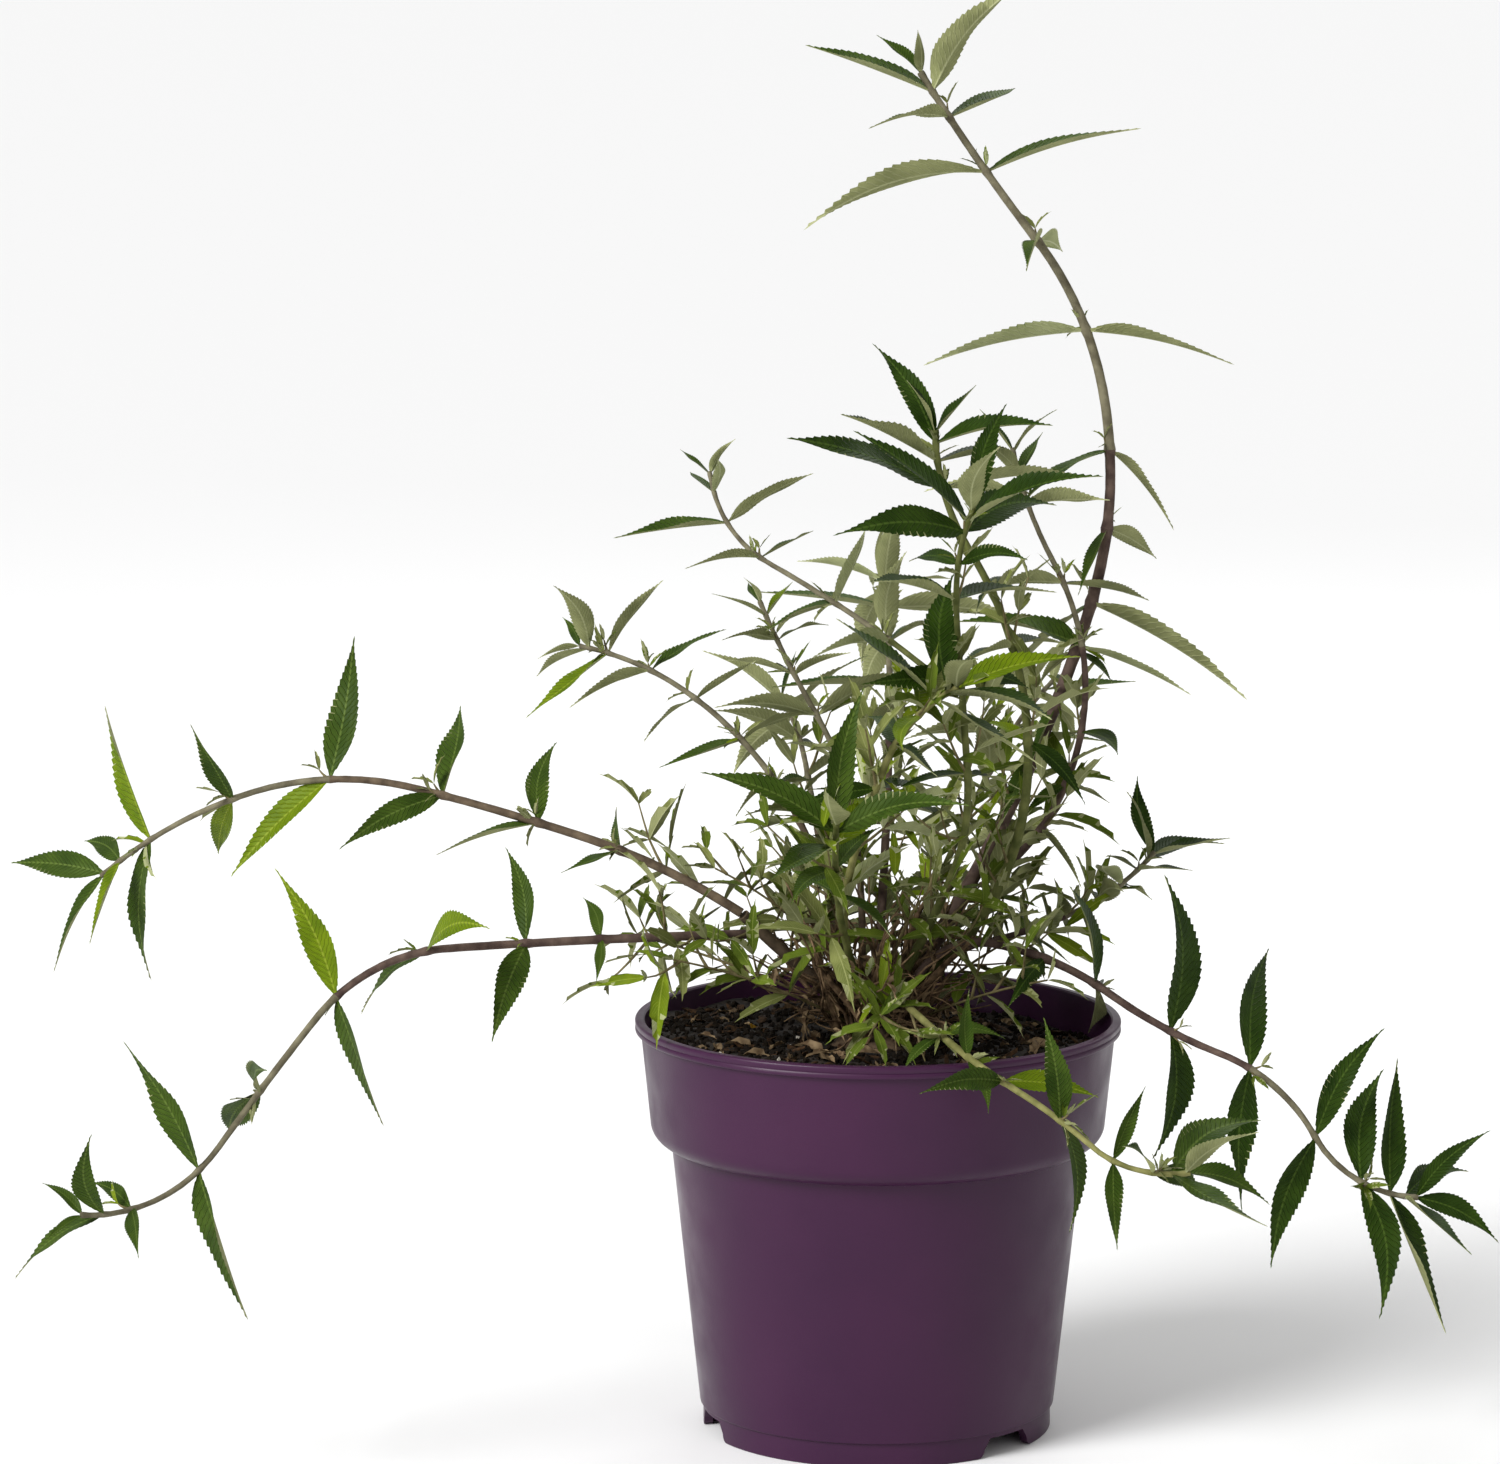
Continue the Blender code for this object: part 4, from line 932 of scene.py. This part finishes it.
def blade(name, rows, width, sag, fold, sickle, twist, ripple, teeth):
    """A leaf one unit long, with its foot at the origin, its tip along +X and its upper side to +Z."""
    corners = [(0.0, 0.0, 0.0)]
    faces = []
    undersides = []
    flat_map = [(0.5, 0.0)]
    for row in range(1, rows):
        share = row / rows
        swell = (share / LEAF_WIDEST) ** (LEAF_TAPER * LEAF_WIDEST)
        swell *= ((1.0 - share) / (1.0 - LEAF_WIDEST)) ** (LEAF_TAPER * (1.0 - LEAF_WIDEST))
        half = max(0.5 * width * swell, RIB_HALF)
        lean = Vector((0.0, 0.0, 0.0))
        if row % 2:
            half *= 1.0 - teeth
        elif teeth:
            lean.x = TOOTH_LEAN / rows
        turn = twist * (share - 0.15)
        middle = Vector((share - SAG_PULL * sag * share, sickle * math.sin(math.pi * share),
                         -sag * share ** SAG_POWER))
        across = Vector((0.0, math.cos(turn), math.sin(turn)))
        upward = Vector((0.0, -math.sin(turn), math.cos(turn)))
        wave = ripple * half * math.sin(9.0 * share + 3.0 * ripple)
        thick = LEAF_THICKNESS * (1.0 - 0.6 * share)
        corners.append(tuple(middle + lean - across * half + upward * (fold * half + wave)))
        corners.append(tuple(middle + upward * (thick * 0.3)))
        corners.append(tuple(middle + lean + across * half + upward * (fold * half - wave)))
        corners.append(tuple(middle - upward * thick))
        flat_map += [(0.5 - half, share), (0.5, share), (0.5 + half, share), (0.5, share)]
    corners.append((1.0 - SAG_PULL * sag, 0.0, -sag))
    flat_map.append((0.5, 1.0))
    last = len(corners) - 1
    for row in range(rows - 1):
        left, rib, right, keel = (1 + 4 * row + place for place in range(4))
        if row == 0:
            faces += [(0, rib, left), (0, right, rib), (0, left, keel), (0, keel, right)]
            undersides += [False, False, True, True]
        if row == rows - 2:
            faces += [(last, left, rib), (last, rib, right), (last, keel, left), (last, right, keel)]
            undersides += [False, False, True, True]
        else:
            faces += [(left, rib, rib + 4, left + 4), (rib, right, right + 4, rib + 4),
                      (keel, left, left + 4, keel + 4), (right, keel, keel + 4, right + 4)]
            undersides += [False, False, True, True]
    mesh = mesh_of(name, corners, faces)
    mesh.attributes.new("underside", "BOOLEAN", "FACE").data.foreach_set("value", undersides)
    chart = mesh.uv_layers.new(name="UVMap")
    for loop in mesh.loops:
        chart.data[loop.index].uv = flat_map[loop.vertex_index]
    mesh.shade_smooth()
    mesh.set_sharp_from_angle(angle=LEAF_EDGE)
    return mesh


def blade_kinds(name, count, rows, width, seed, teeth):
    """Several blades that differ in their bend, fold, twist and ripple, every other one bent to the left."""
    rng = random.Random(seed)
    meshes = []
    for number in range(count):
        sickle = rng.uniform(*SICKLES) * (-1.0 if number % 2 else 1.0)
        meshes.append(blade(name, rows, width, rng.uniform(*SAGS), rng.uniform(*FOLDS), sickle,
                            rng.uniform(*TWISTS), rng.uniform(*RIPPLES), teeth))
    return kinds_of(name, meshes)


def leaf_tree():
    """Geometry nodes that set a leaf on each point, turned and sized by the point's attributes."""
    tree, given = start_tree("leafing", Points="Geometry", Blades="Collection", Upper_Side="Material",
                             Underside="Material")
    kinds = {"aim": "QUATERNION", "size": "FLOAT_VECTOR", "kind": "INT", "underside": "BOOLEAN"}
    read = {name: add_node(tree, "GeometryNodeInputNamedAttribute", {"Name": name}, data_type=kind)
            for name, kind in kinds.items()}
    leaves = instances(tree, given["Points"], given["Blades"], Rotation=read["aim"].outputs["Attribute"],
                       Scale=read["size"].outputs["Attribute"],
                       Instance_Index=read["kind"].outputs["Attribute"])
    return end_tree(tree, leaves, (given["Upper Side"], True),
                    (given["Underside"], read["underside"].outputs["Attribute"]))


def grow_leaves(name, places, blades, seed, upper_finish, under_finish, slot):
    """Set one of the blades on each place, (root, direction, face, length), and make them one piece."""
    rng = random.Random(seed)
    turns = []
    sizes = []
    kinds = []
    for root, direction, face, length in places:
        flank = face.cross(direction).normalized()
        upper = direction.cross(flank).normalized()
        turns += list(Matrix((direction, flank, upper)).transposed().to_quaternion())
        sizes += [length, length * rng.uniform(*WIDTH_SHAKE), length]
        kinds.append(2 * rng.randrange(len(blades.objects) // 2) + (flank.z < 0.0))
    mesh = mesh_of(name + "_points", [place[0] for place in places], [])
    mesh.attributes.new("aim", "QUATERNION", "POINT").data.foreach_set("value", turns)
    mesh.attributes.new("size", "FLOAT_VECTOR", "POINT").data.foreach_set("vector", sizes)
    mesh.attributes.new("kind", "INT", "POINT").data.foreach_set("value", kinds)
    mesh = grown_mesh(name, mesh, leafing, Blades=blades, Upper_Side=upper_finish, Underside=under_finish)
    return add_piece(name, mesh, slot)


def frame_at(tangent):
    """The upper side and the flank of a stem that runs along the tangent."""
    upper = Vector((0.0, 0.0, 1.0)) - tangent * tangent.z
    if upper.length < 0.05:
        upper = Vector((1.0, 0.0, 0.0)) - tangent * tangent.x
    upper.normalize()
    return upper, tangent.cross(upper)


def leaf_direction(tangent, turn, spread):
    """The direction of a leaf that stands at a turn round its stem and a spread from it."""
    upper, flank = frame_at(tangent)
    outward = upper * math.cos(math.radians(turn)) + flank * math.sin(math.radians(turn))
    return tangent * math.cos(math.radians(spread)) + outward * math.sin(math.radians(spread))


def leaf_face(direction, tangent, facing):
    """The way a leaf's upper side looks: to the stem's tip, up to the light, and to the front by facing."""
    face = tangent * FACE_TIPWARD + Vector((0.0, -facing, FACE_UPWARD))
    face = face - direction * face.dot(direction)
    if face.length < 0.1:
        face = frame_at(direction)[0]
    return face.normalized()


def tree_of(node):
    """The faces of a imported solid, for testing what would touch it."""
    mesh = frame["nodes"][node].data
    return BVHTree.FromPolygons([tuple(corner.co) for corner in mesh.vertices],
                                [tuple(face.vertices) for face in mesh.polygons])


walls = [tree_of("pot"), tree_of("soil")]


def touches_pot(root, direction, face, length):
    """Whether a leaf would meet the pot or the compost."""
    flank = face.cross(direction).normalized() * (SOLID_HALF_WIDTH * length)
    middle = root + direction * (SOLID_WIDEST * length)
    tip = root + direction * length - face * (SOLID_SAG * length)
    flat = BVHTree.FromPolygons([tuple(corner) for corner in (root, middle + flank, tip, middle - flank)],
                                [(0, 1, 2), (0, 2, 3)])
    return any(flat.overlap(wall) for wall in walls)


def settle(root, tangent, turn, spread, twist, length, facing=0.0):
    """Turn a leaf round its stem until it clears the pot, or leave it out."""
    for swing in TRIES:
        direction = leaf_direction(tangent, turn + swing, spread)
        face = leaf_face(direction, tangent, facing)
        face = face * math.cos(twist) + direction.cross(face) * math.sin(twist)
        if not touches_pot(root, direction, face, length):
            return [(root, direction, face, length)]
    return []


def pair_of_leaves(rng, limb, along, turn, size, left, droop=0.0, facing=0.0):
    """Two opposite leaves by the part's rule, one after the other, each a list of one place or none."""
    for half in (0.0, 180.0):
        roll = turn + half + rng.uniform(-ROLL_SHAKE, ROLL_SHAKE)
        spread = SPREAD + LIFT * math.cos(math.radians(roll)) + rng.uniform(-SPREAD_SHAKE, SPREAD_SHAKE)
        spread = (spread + droop) * (TIP_SPREADS[left] if left < len(TIP_SPREADS) else 1.0)
        length = size * MM * rng.uniform(1.0 - SIZE_SHAKE, 1.0 + SIZE_SHAKE)
        twist = math.radians(rng.uniform(-TWIST_SHAKE, TWIST_SHAKE))
        yield settle(limb.point(along), limb.tangent(along), roll, spread, twist, length, facing)


leaf_places = {"dark": [], "mid": [], "fresh": []}
axils = []
for number, (name, cane) in enumerate(CANES.items()):
    limb = limbs[name]
    for pair, (along, size, turn) in enumerate(cane.pairs):
        rng = random.Random(SEED + SEED_STEP * number + pair)
        along = along * MM
        left = len(cane.pairs) - 1 - pair
        droop = cane.droop * (1.0 - along / limb.length)
        axils.append((name, limb, along, turn, left, pair))
        for leaf in pair_of_leaves(rng, limb, along, turn, size, left, droop, cane.facing):
            leaf_places["fresh" if rng.random() < FRESH_SHARE else cane.green] += leaf


def leaf_finish(name, dark, light, vein, roughness, quilt):
    """A leaf surface with a paler midrib and side veins, and a quilted or felted relief."""
    made = finish_of(name, light, roughness, specular=0.08)
    tree = made.node_tree
    chart = add_node(tree, "ShaderNodeUVMap", {}, uv_map="UVMap")
    split = add_node(tree, "ShaderNodeSeparateXYZ", {"Vector": chart.outputs["UV"]})
    out = arithmetic(tree, "ABSOLUTE", arithmetic(tree, "SUBTRACT", split.outputs["X"], 0.5))
    slant = arithmetic(tree, "MULTIPLY_ADD", out, -VEIN_SLANT, split.outputs["Y"])
    wave = arithmetic(tree, "COSINE", arithmetic(tree, "MULTIPLY", slant, math.pi * BLADE_ROWS))
    side_veins = spread_over(tree, wave, low=0.55, high=1.0)
    midrib = spread_over(tree, out, low=0.010, high=0.003)
    veins = arithmetic(tree, "MAXIMUM", midrib, arithmetic(tree, "MULTIPLY", side_veins, SIDE_VEIN_STRENGTH))
    green = tint(tree, clouds(tree, scale=90.0, detail=4.0), dark, light, low=0.30, high=0.72)
    veined = add_node(tree, "ShaderNodeMix", {"Factor": veins, 6: green, 7: (*vein, 1.0)}, data_type="RGBA")
    sunk = relief(tree, side_veins, quilt, distance=0.0006, invert=True)
    feed(tree, tree.nodes["Principled BSDF"], {"Base Color": veined.outputs[2], "Normal": sunk})
    return made


# One bright young leaf hangs alone in front of the stool.
lone_top = Vector((0.008, -0.028, 0.191))
lone_span = Vector((0.000, -0.028, 0.163)) - lone_top
leaf_places["fresh"].append((lone_top, lone_span.normalized(), Vector((0.15, -1.0, 0.2)).normalized(),
                             lone_span.length))

leafing = leaf_tree()
felt_grey = leaf_finish("grey_felt", (0.195, 0.210, 0.088), (0.315, 0.330, 0.150), (0.400, 0.415, 0.220),
                        roughness=0.85, quilt=0.5)
felt_pale = leaf_finish("pale_felt", (0.270, 0.300, 0.130), (0.400, 0.425, 0.215), (0.500, 0.520, 0.310),
                        roughness=0.85, quilt=0.5)

# Each green's name, dark and light tones, the colour of its veins, its roughness and its quilting.
LEAF_GREENS = {
    "dark": ("dark_green", (0.010, 0.026, 0.0015), (0.027, 0.056, 0.004), (0.050, 0.088, 0.012), 0.45, 0.9),
    "mid": ("leaf_green", (0.020, 0.044, 0.003), (0.052, 0.090, 0.009), (0.085, 0.130, 0.022), 0.48, 0.9),
    "fresh": ("fresh_green", (0.070, 0.120, 0.002), (0.150, 0.215, 0.004), (0.200, 0.260, 0.020), 0.45, 0.8),
}
big_blades = blade_kinds("blade_kind", BLADE_KINDS, BLADE_ROWS, LEAF_WIDTH, 5, TOOTH_DEPTH)
for tone, places in leaf_places.items():
    felt = felt_pale if tone == "fresh" else felt_grey
    grow_leaves("leaves_" + tone, places, big_blades, 3, leaf_finish(*LEAF_GREENS[tone]), felt, "foliage")
clear_kinds(big_blades)

# Small shoots
# In the angle of most leaves sits a tuft of one or two pairs of tiny leaves, pressed to the cane. Lower on
# the upright canes these have grown into side twigs, and the foot of every cane bears leafy ones.

CROWDED = ("left_limb", "left_arch", "left_sweep")
ARCHING = CROWDED + ("right_arch", "front_right", "tall", "upper_left", "left_mid", "left_back")
SHOOT_STEPS = 4
SHOOT_RISE = 0.14
SHOOT_SWAY = 0.12
SHOOT_LIFT_SHAKE = 0.08
SHOOT_RADIUS = 0.0007
SHOOT_TAPER = 0.0001
LITTLE_SIZES = (0.75, 1.2)
LITTLE_SPREAD = (40.0, 75.0)
LITTLE_ROLL = 15.0
LITTLE_TWIST = 50.0
TIP_SHRINK = 0.25
CLOSED_TIP = 0.6
SIDE_TWIG_SHARE = 0.55
TUFT_SHARE = 0.72
TUFT_TONES = ("grey", "green", "grey", "green", "bright")
LOW_TONES = ("grey", "grey", "grey", "green", "green", "green", "bright")
FIRST_LOW_SHOOT = 0.022
LOW_SHOOT_STEP = (0.008, 0.014)
CROWDING = 0.5

# A shoot's angle from its cane, its length, the length of its leaves, and how many pairs it may bear.
Shoot = namedtuple("Shoot", "spread reach leaf pairs")
SIDE_TWIG = Shoot((22.0, 45.0), (0.012, 0.030), (0.020, 0.034), (2, 3))
TUFT = Shoot((22.0, 45.0), (0.002, 0.006), (0.009, 0.017), (1, 2))
LOW_SHOOT = Shoot((40.0, 80.0), (0.014, 0.036), (0.020, 0.036), (1, 2, 2))
little_places = {"grey": [], "green": [], "bright": []}
twig_lines = []
shoot_rng = random.Random(SEED)
draw = shoot_rng.uniform
pick = shoot_rng.choice


def grow_shoot(limb, along, turn, spread, length, size, pairs, tone):
    """A twig on a limb that bends up a little, with pairs of little leaves along it."""
    root = limb.point(along)
    direction = leaf_direction(limb.tangent(along), turn, spread)
    points = [root]
    for step in range(SHOOT_STEPS):
        stray = Vector((draw(-SHOOT_SWAY, SHOOT_SWAY), draw(-SHOOT_SWAY, SHOOT_SWAY),
                        SHOOT_RISE + draw(-SHOOT_LIFT_SHAKE, SHOOT_LIFT_SHAKE)))
        direction = (direction + stray).normalized()
        points.append(points[-1] + direction * (length / SHOOT_STEPS))
    chord = points[-1] - points[0]
    if touches_pot(root, chord.normalized(), frame_at(chord.normalized())[0], chord.length):
        return
    twig_lines.append([(point, SHOOT_RADIUS - SHOOT_TAPER * step) for step, point in enumerate(points)])
    start = draw(0.0, 90.0)
    for pair in range(pairs):
        share = (pair + 1.0) / pairs
        place = share * SHOOT_STEPS * 0.98
        low = min(int(place), SHOOT_STEPS - 1)
        spot = points[low].lerp(points[low + 1], place - low)
        tangent = (points[low + 1] - points[low]).normalized()
        for half in (0.0, 180.0):
            leaf_length = size * draw(*LITTLE_SIZES) * (1.0 - TIP_SHRINK * share)
            angle = draw(*LITTLE_SPREAD) * (1.0 if pair < pairs - 1 else CLOSED_TIP)
            roll = start + 90.0 * pair + half + draw(-LITTLE_ROLL, LITTLE_ROLL)
            twist = math.radians(draw(-LITTLE_TWIST, LITTLE_TWIST))
            little_places[tone] += settle(spot, tangent, roll, angle, twist, leaf_length)


for name, limb, along, turn, left, pair in axils:
    for half in (0.0, 180.0):
        tone = pick(TUFT_TONES)
        roll = turn + half + draw(-20.0, 20.0)
        side_twig = name not in ARCHING and pair < 3
        if left >= 2 and shoot_rng.random() < (SIDE_TWIG_SHARE if side_twig else TUFT_SHARE):
            shoot = SIDE_TWIG if side_twig else TUFT
            reach = draw(*shoot.reach)
            size = draw(*shoot.leaf)
            grow_shoot(limb, along, roll, draw(*shoot.spread), reach, size, pick(shoot.pairs), tone)

for name, limb in limbs.items():
    along = FIRST_LOW_SHOOT
    while along < CANES[name].bare * MM:
        size = draw(*LOW_SHOOT.leaf)
        grow_shoot(limb, along, draw(0.0, 360.0), draw(*LOW_SHOOT.spread), draw(*LOW_SHOOT.reach), size,
                   pick(LOW_SHOOT.pairs), pick(LOW_TONES))
        along += draw(*LOW_SHOOT_STEP) * (CROWDING if name in CROWDED else 1.0)

# Low sprays
# The bushy foot: ten short side branches that fan out from the stool over the compost and the lip, with
# twigs along them and small grey-green leaves.

SPRAYS = ((-150, 9, 84, 30), (-90, 9, 62, 20), (-64, 26, 58, 64), (-28, 8, 64, 28), (20, 24, 60, 50),
          (34, 8, 62, 34), (112, 8, 60, 36), (165, 10, 88, 24), (-170, 25, 70, 54), (84, 10, 64, 46))
SPRAY_THICK = (2.0, 1.2)
SPRAY_PAIR_COUNT = 4
SPRAY_LEAF = (28, 18)
SPRAY_REACH = (0.35, 1.0)
SPRAY_DROOP = 0.5
SPRAY_TURN = 40.0
SPRAY_STEPS = 14
SPRAY_TONES = ("grey", "green", "green")
SPRAY_SHOOT = Shoot((30.0, 60.0), (0.010, 0.026), (0.018, 0.032), (1, 2, 2))
FIRST_SPRAY_SHOOT = 0.030
SPRAY_SHOOT_STEP = (0.009, 0.015)
LITTLE_KINDS = 8
LITTLE_ROWS = 8
LITTLE_WIDTH = 0.23
LITTLE_TOOTH_DEPTH = 0.08
TWIG_SIDES = 6
for number, (turn, height, length, climb) in enumerate(SPRAYS):
    direction = heading(climb, turn)
    foot = foot_on_stool(turn, height, direction, SPRAY_THICK[0] * MM / 2.0)
    limb = Limb(foot, length, (climb, climb * SPRAY_DROOP), (turn, turn), SPRAY_THICK)
    stations = [limb.length * step / SPRAY_STEPS for step in range(SPRAY_STEPS + 1)]
    twig_lines.append([(limb.point(along), 0.7 * limb.radius(along)) for along in stations])
    for pair in range(SPRAY_PAIR_COUNT):
        share = pair / (SPRAY_PAIR_COUNT - 1)
        rng = random.Random(SEED + SEED_STEP * (len(CANES) + number) + pair)
        for leaf in pair_of_leaves(rng, limb, limb.length * mixed(SPRAY_REACH, share),
                                   SPRAY_TURN * number + 90.0 * pair, mixed(SPRAY_LEAF, share),
                                   SPRAY_PAIR_COUNT - 1 - pair):
            little_places[rng.choice(SPRAY_TONES)] += leaf
    along = FIRST_SPRAY_SHOOT
    while along < limb.length:
        grow_shoot(limb, along, draw(0.0, 360.0), draw(*SPRAY_SHOOT.spread), draw(*SPRAY_SHOOT.reach),
                   draw(*SPRAY_SHOOT.leaf), pick(SPRAY_SHOOT.pairs), pick(LOW_TONES))
        along += draw(*SPRAY_SHOOT_STEP)

LITTLE_GREENS = {
    "grey": ("grey_green", (0.092, 0.112, 0.026), (0.190, 0.208, 0.062), (0.245, 0.262, 0.095), 0.75, 0.4),
    "green": ("small_green", (0.050, 0.082, 0.005), (0.110, 0.155, 0.013), (0.145, 0.185, 0.030), 0.6, 0.5),
    "bright": ("bright_green", (0.090, 0.140, 0.004), (0.180, 0.240, 0.008), (0.230, 0.290, 0.030), 0.5, 0.5),
}
little_blades = blade_kinds("little_kind", LITTLE_KINDS, LITTLE_ROWS, LITTLE_WIDTH, 11, LITTLE_TOOTH_DEPTH)
for tone, places in little_places.items():
    felt = felt_pale if tone == "bright" else felt_grey
    grow_leaves("little_leaves_" + tone, places, little_blades, 7, leaf_finish(*LITTLE_GREENS[tone]), felt,
                "foliage")
clear_kinds(little_blades)

twig_bark = mottled_finish("twig_bark", (0.085, 0.070, 0.028), (0.210, 0.175, 0.080), scale=220.0,
                           roughness=0.8)
twig_mesh = stems_mesh("twigs", twig_lines, TWIG_SIDES, relief_depth=0.00012, relief_scale=900.0,
                       finish=twig_bark)
twigs = add_piece("twigs", twig_mesh, "foliage")
masses = [name for name in frame["nodes"] if "_leaves" in name or name.startswith("low_spray")]
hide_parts(*masses)

# Dead wood
# Stubs of old canes and crooked dry twigs that stand round the stool, grey-brown and brittle, with last
# year's leaves still caught between them.

DEAD_STEPS = 8
DEAD_TAPER = 0.66
DEAD_HEIGHTS = (2.0, 26.0)
DEAD_SWING = 40.0
DRY_LEAF_SHARE = 0.28
DRY_LEAF_LENGTH = (0.006, 0.013)

# How many there are, their climb, girth and length, and how far they stray at each step.
Dead = namedtuple("Dead", "count climb girth length kink")
STUB = Dead(22, (28.0, 80.0), (0.0013, 0.0023), (0.020, 0.055), 0.22)
DEAD_TWIG = Dead(190, (5.0, 75.0), (0.0004, 0.0009), (0.018, 0.062), 0.30)
dead_rng = random.Random(SEED + 1)
scatter = dead_rng.uniform
dead_lines = []
dry_places = {"dry": [], "golden": []}


def crooked(root, direction, length, girth, kink):
    """A line that strays at every step and tapers to a third."""
    line = []
    spot = root
    for step in range(DEAD_STEPS + 1):
        line.append((spot, girth * (1.0 - DEAD_TAPER * step / DEAD_STEPS)))
        direction = (direction + Vector([scatter(-kink, kink) for axis in range(3)])).normalized()
        spot = spot + direction * (length / DEAD_STEPS)
    return line


for kind in [STUB] * STUB.count + [DEAD_TWIG] * DEAD_TWIG.count:
    turn = scatter(0.0, 360.0)
    height = scatter(*DEAD_HEIGHTS)
    direction = heading(scatter(*kind.climb), turn + scatter(-DEAD_SWING, DEAD_SWING))
    girth = scatter(*kind.girth)
    length = scatter(*kind.length)
    root = foot_on_stool(turn, height, direction, 0.0) - direction * 0.002
    line = crooked(root, direction, length, girth, kind.kink)
    chord = line[-1][0] - root
    tangent = chord.normalized()
    if touches_pot(root + direction * 0.003, tangent, frame_at(tangent)[0], chord.length):
        continue
    dead_lines.append(line)
    for spot, girth in line[3::2]:
        if dead_rng.random() < DRY_LEAF_SHARE:
            hang = heading(scatter(-70.0, 30.0), scatter(0.0, 360.0))
            size = scatter(*DRY_LEAF_LENGTH)
            face = frame_at(hang)[0]
            if not touches_pot(spot, hang, face, size):
                dry_places["dry"].append((spot, hang, face, size))

dead_bark = mottled_finish("dead_bark", (0.060, 0.036, 0.020), (0.250, 0.165, 0.090), scale=240.0,
                           roughness=0.9)
dead_mesh = stems_mesh("dead_wood", dead_lines, TWIG_SIDES, relief_depth=0.0004, relief_scale=500.0,
                       finish=dead_bark)
add_piece("dead_wood", dead_mesh, "bark")

# Litter
# What has dropped on the compost: last year's leaves, tan and curled, and one that has only just turned
# golden.

LITTER_COUNT = 90
LITTER_RADIUS = 0.080
LITTER_INNER_SHARE = 0.06
LITTER_REACH = 0.084
LITTER_RISE = 0.0012
LITTER_LENGTH = (0.008, 0.020)
LITTER_LIE = (-4.0, 14.0)
for number in range(LITTER_COUNT):
    radius = LITTER_RADIUS * math.sqrt(scatter(LITTER_INNER_SHARE, 1.0))
    turn = scatter(0.0, math.tau)
    spot = Vector((radius * math.cos(turn), radius * math.sin(turn), 0.0))
    spot.z = crumbly(spot.x, spot.y) + LITTER_RISE
    lie = heading(scatter(*LITTER_LIE), scatter(0.0, 360.0))
    size = scatter(*LITTER_LENGTH)
    tip = spot + lie * size
    if math.hypot(tip.x, tip.y) < LITTER_REACH:
        dry_places["dry"].append((spot, lie, frame_at(lie)[0], size))

golden_foot = Vector((-0.053, 0.011, 0.156))
golden_span = Vector((0.012, 0.003, -0.001))
dry_places["golden"].append((golden_foot, golden_span.normalized(), Vector((0.0, -0.3, 0.95)),
                             golden_span.length))

curled = [blade("dry_kind", LITTLE_ROWS, width=0.24, sag=0.25 + 0.12 * number, fold=0.9,
                sickle=0.10 * (-1) ** number, twist=1.6 - 0.5 * number, ripple=0.5, teeth=0.12)
          for number in range(LITTLE_KINDS)]
dry_blades = kinds_of("dry_kind", curled)
DRY_COLOURS = {"dry": ((0.085, 0.052, 0.026), (0.300, 0.215, 0.120)),
               "golden": ((0.330, 0.170, 0.015), (0.560, 0.330, 0.040))}
for kind, places in dry_places.items():
    finish = mottled_finish(kind + "_leaf", *DRY_COLOURS[kind], scale=260.0, roughness=0.8)
    grow_leaves(kind + "_leaves", places, dry_blades, 9, finish, finish, "compost")
clear_kinds(dry_blades)
